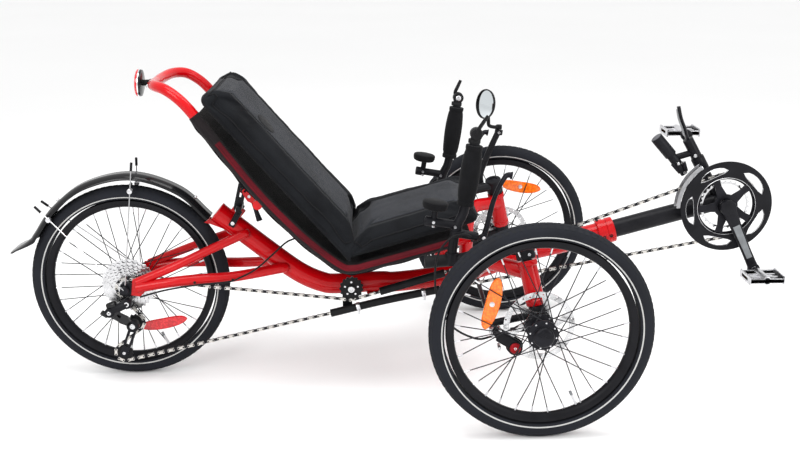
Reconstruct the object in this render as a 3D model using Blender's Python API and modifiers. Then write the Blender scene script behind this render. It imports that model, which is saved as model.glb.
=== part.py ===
"""Recumbent tadpole tricycle: two steered wheels in front, one driven wheel behind, and a reclined seat.

Metres, +Z up, +X forward, +Y to the rider's left. Every coordinate below is measured from the point on
the ground under the middle of the front axles. One empty then carries the whole model to its origin,
which is the middle of its footprint.
"""

import math

import bmesh
import bpy
from mathutils import Matrix, Vector

# Driving dimensions
FRONT_AXLE_X = 0.31476
WHEEL_R = 0.2435
WHEELBASE = 0.96
HALF_TRACK = 0.40
GAP = 0.0003
RIGHT, LEFT = -1, 1

# Wheels
TYRE_RING_R = 0.223
TYRE_SIDES = 8
WHEEL_STEPS = 36
RIM_OUTER_R = 0.2031
RIM_INNER_R = 0.189
SPOKES = 12
SPOKE_R = 0.0014
REAR_X = -WHEELBASE

# Frame
MAIN_R = 0.0255
BOOM_R = 0.0222
BOOM_SLOPE = 0.26
BB = Vector((0.4970, 0, 0.4222))
MAIN_ROUTE = [(-0.7385, 0, 0.416), (-0.622, 0, 0.318), (-0.545, 0, 0.258), (-0.486, 0, 0.2295),
              (-0.445, 0, 0.225), (-0.345, 0, 0.229), (-0.30, 0, 0.2275), (-0.176, 0, 0.2415),
              (-0.08, 0, 0.264), (0.0, 0, 0.297)]
KINGPIN_LOW = Vector((-0.002, 0.33, 0.28))
KINGPIN_TOP = Vector((-0.022, 0.306, 0.375))
KINGPIN_R = 0.0118
BAR_ROUTE = [(-0.184, 0.25, 0.362), (-0.1775, 0.25, 0.410), (-0.168, 0.25, 0.447), (-0.1535, 0.25, 0.486),
             (-0.1335, 0.25, 0.624), (-0.1310, 0.25, 0.641)]
HEAD_R = 0.0205

# Drive train: pitch is half an inch, so a pitch radius is teeth * pitch / (2 pi)
PITCH = 0.0127
CHAIN_R = 0.0037
RING_TEETH, COG_TEETH, PULLEY_TEETH, IDLER_TEETH = 39, 12, 11, 15
RING_Y, COG_Y, IDLER_Y = -0.0475, -0.0607, -0.0555
IDLER = Vector((-0.414, 0, 0.231))
PULLEY_HIGH = Vector((-0.945, 0, 0.155))
PULLEY_LOW = Vector((-0.977, 0, 0.077))
UPPER_TUBE = [(-0.344, -0.0545, 0.2205), (-0.265, -0.0535, 0.2425), (-0.185, -0.0525, 0.265)]
LOWER_TUBE = [(-0.466, -0.0555, 0.1665), (-0.33, -0.054, 0.1975), (-0.197, -0.0525, 0.2225)]
POST_TOP = Vector((0.4085, 0, 0.578))
CRANK_LENGTH = 0.165
CRANK_ANGLE = math.radians(-65.5)

# Seat
RAIL_Y = 0.155
RAIL_R = 0.0125
RAIL_ROUTE = [(-0.130, RAIL_Y, 0.3867), (-0.262, RAIL_Y, 0.3505), (-0.362, RAIL_Y, 0.324),
              (-0.405, RAIL_Y, 0.3145), (-0.440, RAIL_Y, 0.324), (-0.52, RAIL_Y, 0.391),
              (-0.607, RAIL_Y, 0.484), (-0.668, RAIL_Y, 0.5625), (-0.729, RAIL_Y, 0.6455),
              (-0.768, RAIL_Y, 0.698), (-0.795, 0.150, 0.7235), (-0.820, 0.138, 0.7375),
              (-0.845, 0.108, 0.7405), (-0.860, 0.055, 0.7365), (-0.863, 0.0, 0.734)]
STRUT_BOLT = Vector((-0.6885, 0, 0.4215))
STRUT_TOP = Vector((-0.672, 0, 0.488))
SEAT_PIVOT = Vector((-0.19, 0, 0.352))
BACK_ORIGIN = Vector((-0.432, 0, 0.316))
BACK_UP = Vector((-0.650, 0, 0.760)).normalized()
BACK_OUT = Vector((0.760, 0, 0.650)).normalized()
BASE_FORWARD = Vector((0.963, 0, 0.2695)).normalized()
BASE_UP = Vector((-0.2695, 0, 0.963)).normalized()
CUSHION_HALF_WIDTH = 0.172
MITRE_POINT = Vector((-0.410, 0, 0.350))
MITRE_FORWARD = Vector((0.967, 0, -0.253)).normalized()

PAINT = ("red_paint", (0.72, 0.012, 0.015), 0.22, 0.0)
BLACK = ("black_metal", (0.02, 0.021, 0.026), 0.35, 0.6)
PLASTIC = ("black_plastic", (0.022, 0.022, 0.024), 0.5, 0.0)
RUBBER = ("tyre_rubber", (0.03, 0.03, 0.033), 0.8, 0.0)
FOAM = ("foam", (0.015, 0.015, 0.016), 0.9, 0.0)
STEEL = ("steel", (0.6, 0.6, 0.6), 0.25, 1.0)
FABRIC = ("fabric", (0.03, 0.031, 0.036), 0.9, 0.0)
MESH = ("mesh_fabric", (0.03, 0.012, 0.014), 0.9, 0.0)
AMBER = ("amber", (1.0, 0.32, 0.01), 0.3, 0.0)
RED_LENS = ("red_lens", (0.7, 0.01, 0.015), 0.25, 0.0)


def clear_scene():
    for old in list(bpy.data.objects):
        bpy.data.objects.remove(old, do_unlink=True)


def collection(name):
    made = bpy.data.collections.new(name)
    bpy.context.scene.collection.children.link(made)
    return made


clear_scene()
TRIKE = collection("tricycle")
WORKSHOP = collection("cutters")


# ---------------------------------------------------------------- shape helpers

def raw(mesh, name="shape"):
    """A new object that still lies in the workshop."""
    made = bpy.data.objects.new(name, mesh)
    WORKSHOP.objects.link(made)
    return made


def baked(obj):
    """The same object with its modifiers applied, its loose caps welded and its transform in the mesh."""
    graph = bpy.context.evaluated_depsgraph_get()
    mesh = bpy.data.meshes.new_from_object(obj.evaluated_get(graph))
    mesh.transform(obj.matrix_world)
    work = bmesh.new()
    work.from_mesh(mesh)
    bmesh.ops.remove_doubles(work, verts=work.verts, dist=0.00001)
    work.to_mesh(mesh)
    work.free()
    bpy.data.objects.remove(obj, do_unlink=True)
    return raw(mesh)


def from_bmesh(work):
    mesh = bpy.data.meshes.new("shape")
    work.to_mesh(mesh)
    work.free()
    return raw(mesh)


def toward(direction):
    return Vector(direction).to_track_quat("Z", "Y").to_matrix().to_4x4()


def rod(start, end, radius, sides=12, end_radius=None):
    """A cylinder or cone between two points."""
    start, end = Vector(start), Vector(end)
    work = bmesh.new()
    place = Matrix.Translation((start + end) / 2) @ toward(end - start)
    bmesh.ops.create_cone(work, cap_ends=True, segments=sides, radius1=radius,
                          radius2=radius if end_radius is None else end_radius,
                          depth=(end - start).length, matrix=place)
    return from_bmesh(work)


def box(size, centre, turn=None, bevel=0.0, segments=1):
    """A box of the given size, turned by a matrix whose columns are its own axes."""
    work = bmesh.new()
    place = Matrix.Translation(centre) @ (turn.to_4x4() if turn else Matrix())
    bmesh.ops.create_cube(work, size=1.0, matrix=place @ Matrix.Diagonal((*size, 1)))
    made = from_bmesh(work)
    if bevel:
        rounding = made.modifiers.new("edges", "BEVEL")
        rounding.width = bevel
        rounding.segments = segments
        made = baked(made)
    return made


def axes(first, second):
    """A turn whose X runs along first and whose Y runs as near second as a right angle allows."""
    x = Vector(first).normalized()
    z = x.cross(Vector(second)).normalized()
    return Matrix((x, z.cross(x), z)).transposed()


def lathe(profile, centre, axis=(0, 1, 0), steps=24, start=0.0):
    """A turned shape. The profile is a list of (radius, distance along the axis), outer side falling."""
    mesh = bpy.data.meshes.new("profile")
    count = len(profile)
    closed = all(radius > 0 for radius, _ in profile)
    edges = [(k, (k + 1) % count) for k in range(count if closed else count - 1)]
    mesh.from_pydata([(radius, 0, along) for radius, along in profile], edges, [])
    made = raw(mesh)
    screw = made.modifiers.new("turn", "SCREW")
    screw.steps = screw.render_steps = steps
    screw.use_merge_vertices = True
    screw.merge_threshold = 0.00001
    made.matrix_world = Matrix.Translation(centre) @ toward(axis) @ Matrix.Rotation(start, 4, "Z")
    bpy.context.view_layer.update()
    return baked(made)


def smooth(route, steps):
    """Points on a smooth curve through the route's own points, with so many steps to each stretch."""
    points = [Vector(point) for point in route]
    padded = [2 * points[0] - points[1], *points, 2 * points[-1] - points[-2]]
    curve = []
    for before, start, end, after in zip(padded, padded[1:], padded[2:], padded[3:]):
        for step in range(steps):
            t = step / steps
            curve.append(0.5 * (2 * start + (end - before) * t
                                + (2 * before - 5 * start + 4 * end - after) * t ** 2
                                + (3 * start - before - 3 * end + after) * t ** 3))
    return [*curve, points[-1]]


def tube(points, radius, resolution=2, wall=0.0):
    """A round bar along the points, or a pipe where wall gives its thickness."""
    curve = bpy.data.curves.new("route", "CURVE")
    curve.dimensions = "3D"
    curve.bevel_depth = radius
    curve.bevel_resolution = resolution
    curve.use_fill_caps = not wall
    spline = curve.splines.new("POLY")
    spline.points.add(len(points) - 1)
    for place, point in zip(spline.points, points):
        place.co = (*point, 1)
    made = bpy.data.objects.new("bar", curve)
    WORKSHOP.objects.link(made)
    if wall:
        skin = made.modifiers.new("wall", "SOLIDIFY")
        skin.thickness = wall
        skin.offset = -1
    return baked(made)


def plate(outline, thickness, centre, turn):
    """A flat outline of (x, y) points, made solid and turned into place."""
    curve = bpy.data.curves.new("outline", "CURVE")
    curve.dimensions = "2D"
    curve.fill_mode = "BOTH"
    curve.extrude = thickness / 2
    spline = curve.splines.new("POLY")
    spline.points.add(len(outline) - 1)
    for place, point in zip(spline.points, outline):
        place.co = (*point, 0, 1)
    spline.use_cyclic_u = True
    made = bpy.data.objects.new("plate", curve)
    WORKSHOP.objects.link(made)
    made.matrix_world = Matrix.Translation(centre) @ turn.to_4x4()
    bpy.context.view_layer.update()
    return baked(made)


def boolean(base, others, operation):
    for other in others:
        step = base.modifiers.new(operation.lower(), "BOOLEAN")
        step.operation = operation
        step.solver = "EXACT"
        step.object = other
        base = baked(base)
        bpy.data.objects.remove(other, do_unlink=True)
    return base


def join(base, *others):
    return boolean(base, others, "UNION")


def cut(base, *others):
    return boolean(base, others, "DIFFERENCE")


def material(spec):
    name, colour, roughness, metallic = spec
    if name in bpy.data.materials:
        return bpy.data.materials[name]
    made = bpy.data.materials.new(name)
    made.use_nodes = True
    shader = made.node_tree.nodes["Principled BSDF"]
    shader.inputs["Base Color"].default_value = (*colour, 1)
    shader.inputs["Roughness"].default_value = roughness
    shader.inputs["Metallic"].default_value = metallic
    return made


def pivot(name, place, parent=None):
    """An empty on a joint's axis, which carries the pieces that turn there."""
    empty = bpy.data.objects.new(name, None)
    TRIKE.objects.link(empty)
    empty.parent = parent
    empty.location = Vector(place) - (parent.matrix_world.translation if parent else Vector())
    bpy.context.view_layer.update()
    return empty


def node(name, obj, spec, carrier):
    """Give a finished piece its name, its material, its carrier and its shading."""
    obj.name = name
    obj.data.name = name
    obj.data.materials.clear()
    obj.data.materials.append(material(spec))
    obj.data.shade_smooth()
    obj.data.set_sharp_from_angle(angle=math.radians(40))
    WORKSHOP.objects.unlink(obj)
    TRIKE.objects.link(obj)
    obj.parent = carrier
    obj.matrix_parent_inverse = carrier.matrix_world.inverted()
    return obj


def sided(point, side):
    return Vector((point[0], side * point[1], point[2]))


def side_name(side):
    return "right" if side == RIGHT else "left"


# ---------------------------------------------------------------- chain geometry

def pitch_radius(teeth):
    return teeth * PITCH / (2 * math.pi)


def belt(start, wheels, end, sag=0.0004):
    """A path in the X-Z plane from start round each wheel to end. A wheel is (centre, radius, turn),
    where turn is 1 for a counter-clockwise wrap and -1 for a clockwise one. sag is how far the straight
    steps may cut inside a wheel's circle."""
    stops = [(start, 0.0), *[(centre, radius * turn) for centre, radius, turn in wheels], (end, 0.0)]
    headings = []
    for (here, r_here), (there, r_there) in zip(stops, stops[1:]):
        gap = there - here
        headings.append(math.atan2(gap.z, gap.x)
                        + math.asin((r_here - r_there) / math.hypot(gap.x, gap.z)))
    path = [start.copy()]
    for (centre, radius, turn), arrive, leave in zip(wheels, headings, headings[1:]):
        sweep = ((leave - arrive) * turn) % (2 * math.pi)
        steps = math.ceil(sweep / (2 * math.acos(1 - sag / radius)))
        for step in range(steps + 1):
            angle = arrive + turn * (sweep * step / steps - math.pi / 2)
            path.append(centre + radius * Vector((math.cos(angle), 0, math.sin(angle))))
    return [*path, end.copy()]


def set_y(path, far_x, far_y, near_x, near_y):
    """Slide each point sideways, so that the chain line runs straight from far_y to near_y."""
    for point in path:
        share = (point.x - far_x) / (near_x - far_x)
        point.y = far_y + (near_y - far_y) * min(max(share, 0), 1)
    return path


# ---------------------------------------------------------------- wheels

def tyre(centre):
    """A round tyre whose lowest tread facet lies flat on the ground."""
    flat = math.cos(math.pi / TYRE_SIDES)
    tube_r = (WHEEL_R / math.cos(math.pi / WHEEL_STEPS) - TYRE_RING_R) / flat
    profile = []
    for k in range(TYRE_SIDES):
        angle = math.pi / 2 - (k + 0.5) * 2 * math.pi / TYRE_SIDES
        radius = TYRE_RING_R + tube_r * math.cos(angle)
        profile.append((max(radius, RIM_OUTER_R + GAP), tube_r * math.sin(angle)))
    return lathe(profile, centre, steps=WHEEL_STEPS, start=math.pi / WHEEL_STEPS)


def spoked_wheel(centre, hub, flanges, flange_r):
    """Rim, spokes and hub as one piece. hub is a turned profile about the wheel's own middle."""
    rim = lathe([(RIM_INNER_R, 0.007), (RIM_OUTER_R, 0.0125), (RIM_OUTER_R, -0.0125),
                 (RIM_INNER_R, -0.007)], centre, steps=WHEEL_STEPS, start=math.pi / WHEEL_STEPS)
    wires = []
    for k in range(SPOKES):
        flange, lean = (flanges[0], 1) if k % 2 else (flanges[1], -1)
        rim_angle = 2 * math.pi * (k + 0.5) / SPOKES
        hub_angle = rim_angle + lean * math.radians(55)
        outer = centre + Vector((math.cos(rim_angle), 0, math.sin(rim_angle))) * (RIM_INNER_R + 0.004)
        inner = centre + Vector((math.cos(hub_angle), 0, math.sin(hub_angle))) * (flange_r - 0.004)
        inner.y += flange
        wires.append(rod(inner, outer, SPOKE_R, sides=4))
    return join(rim, lathe(hub, centre, steps=16), *wires)


def front_wheel(side, carrier):
    centre = Vector((0, side * HALF_TRACK, WHEEL_R))
    name = side_name(side)
    spin = pivot(f"spin_front_{name}", centre, carrier)
    node(f"tyre_front_{name}", tyre(centre), RUBBER, spin)
    outward = [(0.0, 0.0405), (0.0225, 0.0405), (0.0225, 0.026), (0.030, 0.022), (0.030, 0.018),
               (0.016, 0.014), (0.016, -0.024), (0.030, -0.026), (0.030, -0.030), (0.020, -0.0355),
               (0.0092, -0.0355), (0.0092, 0.034), (0.0, 0.034)]
    hub = outward if side == LEFT else [(r, -along) for r, along in reversed(outward)]
    flanges = (side * 0.020, -side * 0.028)
    node(f"wheel_front_{name}", spoked_wheel(centre, hub, flanges, 0.030), BLACK, spin)
    disc_y = side * (HALF_TRACK - 0.0368)
    disc = lathe([(0.014, 0.0008), (0.078, 0.0008), (0.078, -0.0008), (0.014, -0.0008)],
                 (0, disc_y, WHEEL_R), steps=20)
    windows = []
    for k in range(5):
        angle = 2 * math.pi * k / 5
        spot = Vector((0.043 * math.cos(angle), 0, 0.043 * math.sin(angle)))
        windows.append(rod(Vector((0, disc_y - 0.01, WHEEL_R)) + spot,
                           Vector((0, disc_y + 0.01, WHEEL_R)) + spot, 0.016, sides=6))
    node(f"brake_rotor_{name}", cut(disc, *windows), STEEL, spin)
    where, lean, inset = ((-0.108, 0.066), 76, 0.0) if side == RIGHT else ((0.059, 0.125), -10, -0.0015)
    spoke_reflector(f"spoke_reflector_{name}", centre, where, lean, inset, AMBER, spin)


def spoke_reflector(name, centre, where, lean, offset, spec, spin):
    """A flat lens between the spokes. where is its (x, z) from the hub, lean its long axis in degrees."""
    turn = Matrix.Rotation(math.radians(-lean), 3, "Y")
    place = centre + Vector((where[0], offset, where[1]))
    lens = box((0.102, 0.007, 0.032), place, turn, bevel=0.003)
    node(name, lens, spec, spin)


def rear_wheel(root):
    centre = Vector((REAR_X, 0, WHEEL_R))
    spin = pivot("spin_rear", centre, root)
    node("tyre_rear", tyre(centre), RUBBER, spin)
    hub = [(0.011, 0.060), (0.014, 0.058), (0.014, 0.040), (0.030, 0.037), (0.030, 0.033), (0.016, 0.029),
           (0.016, -0.018), (0.030, -0.021), (0.030, -0.025), (0.014, -0.0285), (0.0058, -0.0285),
           (0.0058, 0.060)]
    node("wheel_rear", spoked_wheel(centre, hub, (-0.023, 0.035), 0.030), BLACK, spin)
    spoke_reflector("spoke_reflector_rear", centre, (0.076, -0.108), 10, -0.0172, RED_LENS, spin)


# ---------------------------------------------------------------- frame

def boom_point(x):
    return Vector((x, 0, BB.z + BOOM_SLOPE * (x - BB.x)))


def main_tube(root):
    route = [*smooth(MAIN_ROUTE, 2), boom_point(0.10), boom_point(0.238)]
    body = tube(route, MAIN_R, resolution=3)
    collar = rod(boom_point(0.212), boom_point(0.250), 0.032, sides=16)
    boss = rod((IDLER.x, -0.015, IDLER.z), (IDLER.x, -0.067, IDLER.z), 0.006, sides=8)
    tab = box((0.024, 0.004, 0.062), (-0.425, -0.0405, 0.207))
    web = box((0.020, 0.030, 0.006), (-0.425, -0.0285, 0.232))
    front_lug = box((0.030, 0.012, 0.072), (-0.192, 0, 0.294))
    rear_lug = box((0.030, 0.012, 0.040), (-0.693, 0, 0.411), axes((-0.77, 0, 0.64), (0, 1, 0)))
    body = join(body, collar, boss, tab, web, front_lug, rear_lug)
    bore = rod(boom_point(0.10), boom_point(0.27), BOOM_R + 0.0005, sides=24)
    bolt_hole = rod(STRUT_BOLT - Vector((0, 0.05, 0)), STRUT_BOLT + Vector((0, 0.05, 0)), 0.0050, sides=10)
    node("main_tube", cut(body, bore, bolt_hole), PAINT, root)


def kingpin_point(side, share):
    return sided(KINGPIN_LOW.lerp(KINGPIN_TOP, share), side)


def cross_arm(side, root):
    """One swept arm with the head tube at its end."""
    route = smooth([(-0.128, 0.0, 0.2535), (-0.125, 0.055, 0.2615), (-0.118, 0.120, 0.290),
                    (-0.106, 0.195, 0.330), (-0.082, 0.252, 0.351), (-0.018, 0.305, 0.347)], 2)
    arm = tube([sided(point, side) for point in route], 0.0175, resolution=2)
    head = rod(kingpin_point(side, 0), kingpin_point(side, 1), HEAD_R, sides=16)
    bore = rod(kingpin_point(side, -0.3), kingpin_point(side, 1.3), KINGPIN_R + 0.0006, sides=16)
    spine = tube(smooth(MAIN_ROUTE, 2), MAIN_R + GAP, resolution=3)
    node(f"cross_arm_{side_name(side)}", cut(join(arm, head), bore, spine), PAINT, root)


def rear_stays(side, root):
    """Seat stay, chain stay and slotted dropout block of one side."""
    high = smooth([(-0.658, 0.016, 0.3705), (-0.677, 0.031, 0.3640), (-0.7554, 0.053, 0.334),
                   (-0.845, 0.071, 0.297), (-0.93, 0.0765, 0.263)], 2)
    low = smooth([(-0.556, 0.012, 0.276), (-0.592, 0.032, 0.277), (-0.70, 0.057, 0.2665),
                  (-0.79, 0.071, 0.2655), (-0.86, 0.0794, 0.261), (-0.93, 0.0794, 0.250)], 2)
    seat_stay = tube([sided(point, side) for point in high], 0.0105, resolution=2)
    chain_stay = tube([sided(point, side) for point in low], 0.0127, resolution=2)
    dropout = box((0.070, 0.008, 0.046), (-0.945, side * 0.0712, 0.248), bevel=0.002)
    axle_hole = rod((REAR_X, side * 0.05, WHEEL_R), (REAR_X, side * 0.09, WHEEL_R), 0.0055, sides=12)
    spine = tube(smooth(MAIN_ROUTE, 2), MAIN_R + GAP, resolution=3)
    body = cut(join(seat_stay, chain_stay, dropout), axle_hole, spine)
    node(f"rear_stays_{side_name(side)}", body, PAINT, root)


def rear_axle(root):
    shaft = rod((REAR_X, -0.0850, WHEEL_R), (REAR_X, 0.0850, WHEEL_R), 0.0050, sides=12)
    ends = []
    for side in (RIGHT, LEFT):
        ends.append(rod((REAR_X, side * 0.0870, WHEEL_R), (REAR_X, side * 0.0870 - side * 0.008, WHEEL_R),
                        0.0095, sides=12))
    node("rear_axle", join(shaft, *ends), STEEL, root)


def fender(root):
    """A curved blade over the rear tyre, with a flap, and the wires that hold it."""
    rings = [(38.5, 0.2665), (60, 0.272), (85, 0.275), (110, 0.2685), (132, 0.2605), (150, 0.2580),
             (155, 0.263), (162.2, 0.2915)]
    route = smooth([(r * math.cos(math.radians(a)), 0, r * math.sin(math.radians(a))) for a, r in rings], 3)
    mesh = bpy.data.meshes.new("blade")
    half = [(-0.029, -0.010), (-0.020, -0.002), (0.0, 0.0), (0.020, -0.002), (0.029, -0.010)]
    points = []
    for place in route:
        outward = place.normalized()
        for y, drop in half:
            spot = place + outward * drop + Vector((REAR_X, y, WHEEL_R))
            points.append(spot)
    wide = len(half)
    faces = []
    for row in range(len(route) - 1):
        for column in range(wide - 1):
            first = row * wide + column
            faces.append((first, first + 1, first + wide + 1, first + wide))
    mesh.from_pydata(points, [], faces)
    blade = raw(mesh)
    skin = blade.modifiers.new("thickness", "SOLIDIFY")
    skin.thickness = 0.0016
    skin.offset = 0
    node("rear_fender", baked(blade), BLACK, root)
    over = [(-0.9600, 0.0905, 0.2475), (-1.060, 0.0630, 0.3390), (-1.143, 0.036, 0.4145),
            (-1.1560, 0.026, 0.4310), (-1.1600, 0.0, 0.4360)]
    half_wire = smooth(over, 3)
    wire = half_wire + [sided(point, -1) for point in reversed(half_wire[:-1])]
    node("fender_stays", tube(wire, 0.0016, resolution=0), STEEL, root)


# ---------------------------------------------------------------- drive train

def toothed(centre, y, teeth, half_width, bore, steps=20):
    radius = pitch_radius(teeth) - CHAIN_R - 0.0004
    return lathe([(bore, half_width), (radius, half_width), (radius, -half_width), (bore, -half_width)],
                 (centre.x, y, centre.z), steps=steps)


def chains(root, boom):
    rear = [(IDLER, pitch_radius(IDLER_TEETH), -1),
            (Vector((REAR_X, 0, WHEEL_R)), pitch_radius(COG_TEETH), 1),
            (PULLEY_HIGH, pitch_radius(PULLEY_TEETH), -1), (PULLEY_LOW, pitch_radius(PULLEY_TEETH), 1)]
    start, end = Vector(UPPER_TUBE[0]), Vector(LOWER_TUBE[0])
    start += (Vector(UPPER_TUBE[1]) - start).normalized() * 0.012
    end += (Vector(LOWER_TUBE[1]) - end).normalized() * 0.012
    path = set_y(belt(start, rear, end), -0.92, COG_Y, -0.46, IDLER_Y)
    node("chain_rear", tube(path, CHAIN_R, resolution=0), STEEL, root)
    start, end = Vector(LOWER_TUBE[2]), Vector(UPPER_TUBE[2])
    start -= (start - Vector(LOWER_TUBE[1])).normalized() * 0.030
    end -= (end - Vector(UPPER_TUBE[1])).normalized() * 0.030
    path = set_y(belt(start, [(BB, pitch_radius(RING_TEETH), 1)], end), -0.22, -0.0530, 0.36, RING_Y)
    node("chain_front", tube(path, CHAIN_R, resolution=0), STEEL, boom)


def chain_tubes(root):
    for name, route in (("chain_tube_upper", UPPER_TUBE), ("chain_tube_lower", LOWER_TUBE)):
        node(name, tube(smooth(route, 3), 0.0098, resolution=2, wall=0.0018), PLASTIC, root)


def cassette(root):
    spin = pivot("spin_cassette", (REAR_X, 0, WHEEL_R), root)
    profile = [(0.0060, -0.0290), (0.0215, -0.0290), (0.0215, -0.0310), (0.0660, -0.0310),
               (0.0660, -0.0340), (0.0520, -0.0360), (0.0500, -0.0440), (0.0400, -0.0460),
               (0.0380, -0.0520), (0.0283, -0.0540), (0.0283, -0.0560), (0.0198, -0.0566),
               (0.0198, -0.0640), (0.0060, -0.0640)]
    node("cassette", lathe(profile, (REAR_X, 0, WHEEL_R), steps=18), STEEL, spin)


def derailleur(root):
    """Hanger bolt, knuckle, links and the two cage plates, with the jockey wheels between the plates."""
    hanger = rod((-0.955, -0.0760, 0.213), (-0.955, -0.0960, 0.213), 0.012, sides=12)
    knuckle = rod((-0.955, -0.0880, 0.213), (-1.000, -0.0880, 0.192), 0.012, sides=8)
    links = rod((-0.998, -0.0880, 0.192), (-0.948, -0.0800, 0.158), 0.015, sides=8)
    plates = []
    turn = axes(PULLEY_LOW - PULLEY_HIGH, (0, 0, 1))
    middle = (PULLEY_HIGH + PULLEY_LOW) / 2
    for y in (COG_Y - 0.0085, COG_Y + 0.0085):
        plates.append(box((0.098, 0.018, 0.0022), (middle.x, y, middle.z), turn))
    pins = [rod((spot.x, COG_Y - 0.0100, spot.z), (spot.x, COG_Y + 0.0095, spot.z), 0.0035, sides=8)
            for spot in (PULLEY_HIGH, PULLEY_LOW)]
    body = join(links, hanger, knuckle, plates[0], pins[0], pins[1], plates[1])
    node("rear_derailleur", body, BLACK, root)
    for name, spot in (("upper", PULLEY_HIGH), ("lower", PULLEY_LOW)):
        spin = pivot(f"spin_pulley_{name}", (spot.x, COG_Y, spot.z), root)
        node(f"derailleur_pulley_{name}", toothed(spot, COG_Y, PULLEY_TEETH, 0.0025, 0.0040, 14),
             PLASTIC, spin)


def idler(root):
    spin = pivot("spin_idler", (IDLER.x, IDLER_Y, IDLER.z), root)
    node("idler_pulley", toothed(IDLER, IDLER_Y, IDLER_TEETH, 0.0050, 0.0066, 16), PLASTIC, spin)


def boom(root):
    """Boom tube, bottom-bracket shell, derailleur post and the accessory cylinder on its top."""
    slide = pivot("slide_boom", boom_point(0.23), root)
    shell = rod(BB + Vector((0, -0.034, 0)), BB + Vector((0, 0.034, 0)), 0.0215, sides=20)
    post = rod(BB, POST_TOP, 0.0130, sides=12)
    cap, foot = Vector((0.331, 0, 0.584)), Vector((0.370, 0, 0.539))
    cylinder = rod(cap, foot, 0.0148, sides=16)
    carrier = rod(foot.lerp(cap, 0.15), (0.406, -0.012, 0.494), 0.0125, sides=10)
    clamp = rod(BB.lerp(POST_TOP, 0.50), BB.lerp(POST_TOP, 0.72), 0.0170, sides=12)
    link = rod((0.382, 0, 0.533), (0.424, 0, 0.545), 0.0085, sides=8)
    blade = box((0.086, 0.026, 0.009), POST_TOP + Vector((-0.011, 0, 0.040)),
                axes((-0.28, 0, 0.96), (0, 1, 0)), bevel=0.004)
    body = join(rod(boom_point(0.135), BB, BOOM_R, sides=24), shell, post, cylinder, carrier, clamp, link,
                blade)
    bore = rod(BB + Vector((0, -0.05, 0)), BB + Vector((0, 0.05, 0)), 0.0128, sides=16)
    node("boom", cut(body, bore), BLACK, slide)
    swing = pivot("swing_front_cage", (0.402, -0.030, 0.502), slide)
    band = [(r * math.cos(math.radians(a)), r * math.sin(math.radians(a)))
            for r, angles in ((0.1225, range(124, 181, 8)), (0.1130, range(180, 123, -8))) for a in angles]
    upright = Matrix.Rotation(math.pi / 2, 3, "X")
    sheets = [plate(band, 0.0016, BB + Vector((0, y, 0)), upright) for y in (-0.0580, -0.0370)]
    bridge = box((0.0090, 0.0225, 0.0080), BB + Vector((-0.0675, -0.0475, 0.0955)),
                 axes((-0.566, 0, 0.824), (0, 1, 0)))
    node("front_derailleur_cage", join(sheets[0], bridge, sheets[1]), STEEL, swing)
    return slide


def crank_end(sign):
    return BB + sign * CRANK_LENGTH * Vector((math.cos(CRANK_ANGLE), 0, math.sin(CRANK_ANGLE)))


def cranks(slide):
    spin = pivot("spin_crank", BB, slide)
    rings = [(0.0370, -0.0380), (0.0520, -0.0380), (0.0520, -0.0405), (0.0440, -0.0420), (0.0440, -0.0455),
             (0.0748, -0.0455), (0.0748, -0.0495), (0.0700, -0.0520), (0.1110, -0.0520),
             (0.1110, -0.0560), (0.0370, -0.0560)]
    node("chainrings", lathe(rings, BB, steps=28), BLACK, spin)
    for side in (RIGHT, LEFT):
        name = side_name(side)
        end = crank_end(1 if side == RIGHT else -1)
        root_y, tip_y = (-0.0680, -0.0840) if side == RIGHT else (0.0620, 0.0790)
        boss = rod(BB + Vector((0, side * 0.0350, 0)), BB + Vector((0, side * 0.0760, 0)), 0.0190, sides=16)
        along = end - BB
        start_point = BB + Vector((0, root_y, 0))
        end_point = end + Vector((0, tip_y, 0))
        arm = box((along.length, 0.026, 0.012), (start_point + end_point) / 2,
                  axes(end_point - start_point, (along.z, 0, -along.x)))
        eye = rod(end + Vector((0, tip_y - 0.007, 0)), end + Vector((0, tip_y + 0.007, 0)), 0.0145, sides=12)
        pieces = [boss, arm, eye]
        if side == RIGHT:
            pieces.append(rod(BB + Vector((0, -0.0400, 0)), BB + Vector((0, 0.0345, 0)), 0.0122, sides=12))
            for k in range(5):
                angle = CRANK_ANGLE + math.pi / 5 + 2 * math.pi * k / 5
                reach = Vector((math.cos(angle), 0, math.sin(angle)))
                pieces.append(box((0.056, 0.014, 0.0050), BB + reach * 0.040 + Vector((0, -0.0590, 0)),
                                  axes(reach, (reach.z, 0, -reach.x))))
        node(f"crank_arm_{name}", join(*pieces), BLACK, spin)
        pedal(side, end, tip_y, spin)


def pedal(side, end, tip_y, spin):
    name = side_name(side)
    turn = pivot(f"spin_pedal_{name}", end + Vector((0, tip_y, 0)), spin)
    inner = tip_y + side * 0.0085
    body = box((0.086, 0.074, 0.022), end + Vector((0, inner + side * 0.052, 0)), bevel=0.006)
    shaft = rod(end + Vector((0, inner, 0)), end + Vector((0, inner + side * 0.020, 0)), 0.0085, sides=8)
    holes = [box((0.024, 0.048, 0.05), end + Vector((offset, inner + side * 0.054, 0)))
             for offset in (-0.0225, 0.0225)]
    node(f"pedal_{name}", join(cut(body, *holes), shaft), STEEL, turn)


# ---------------------------------------------------------------- steering

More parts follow.
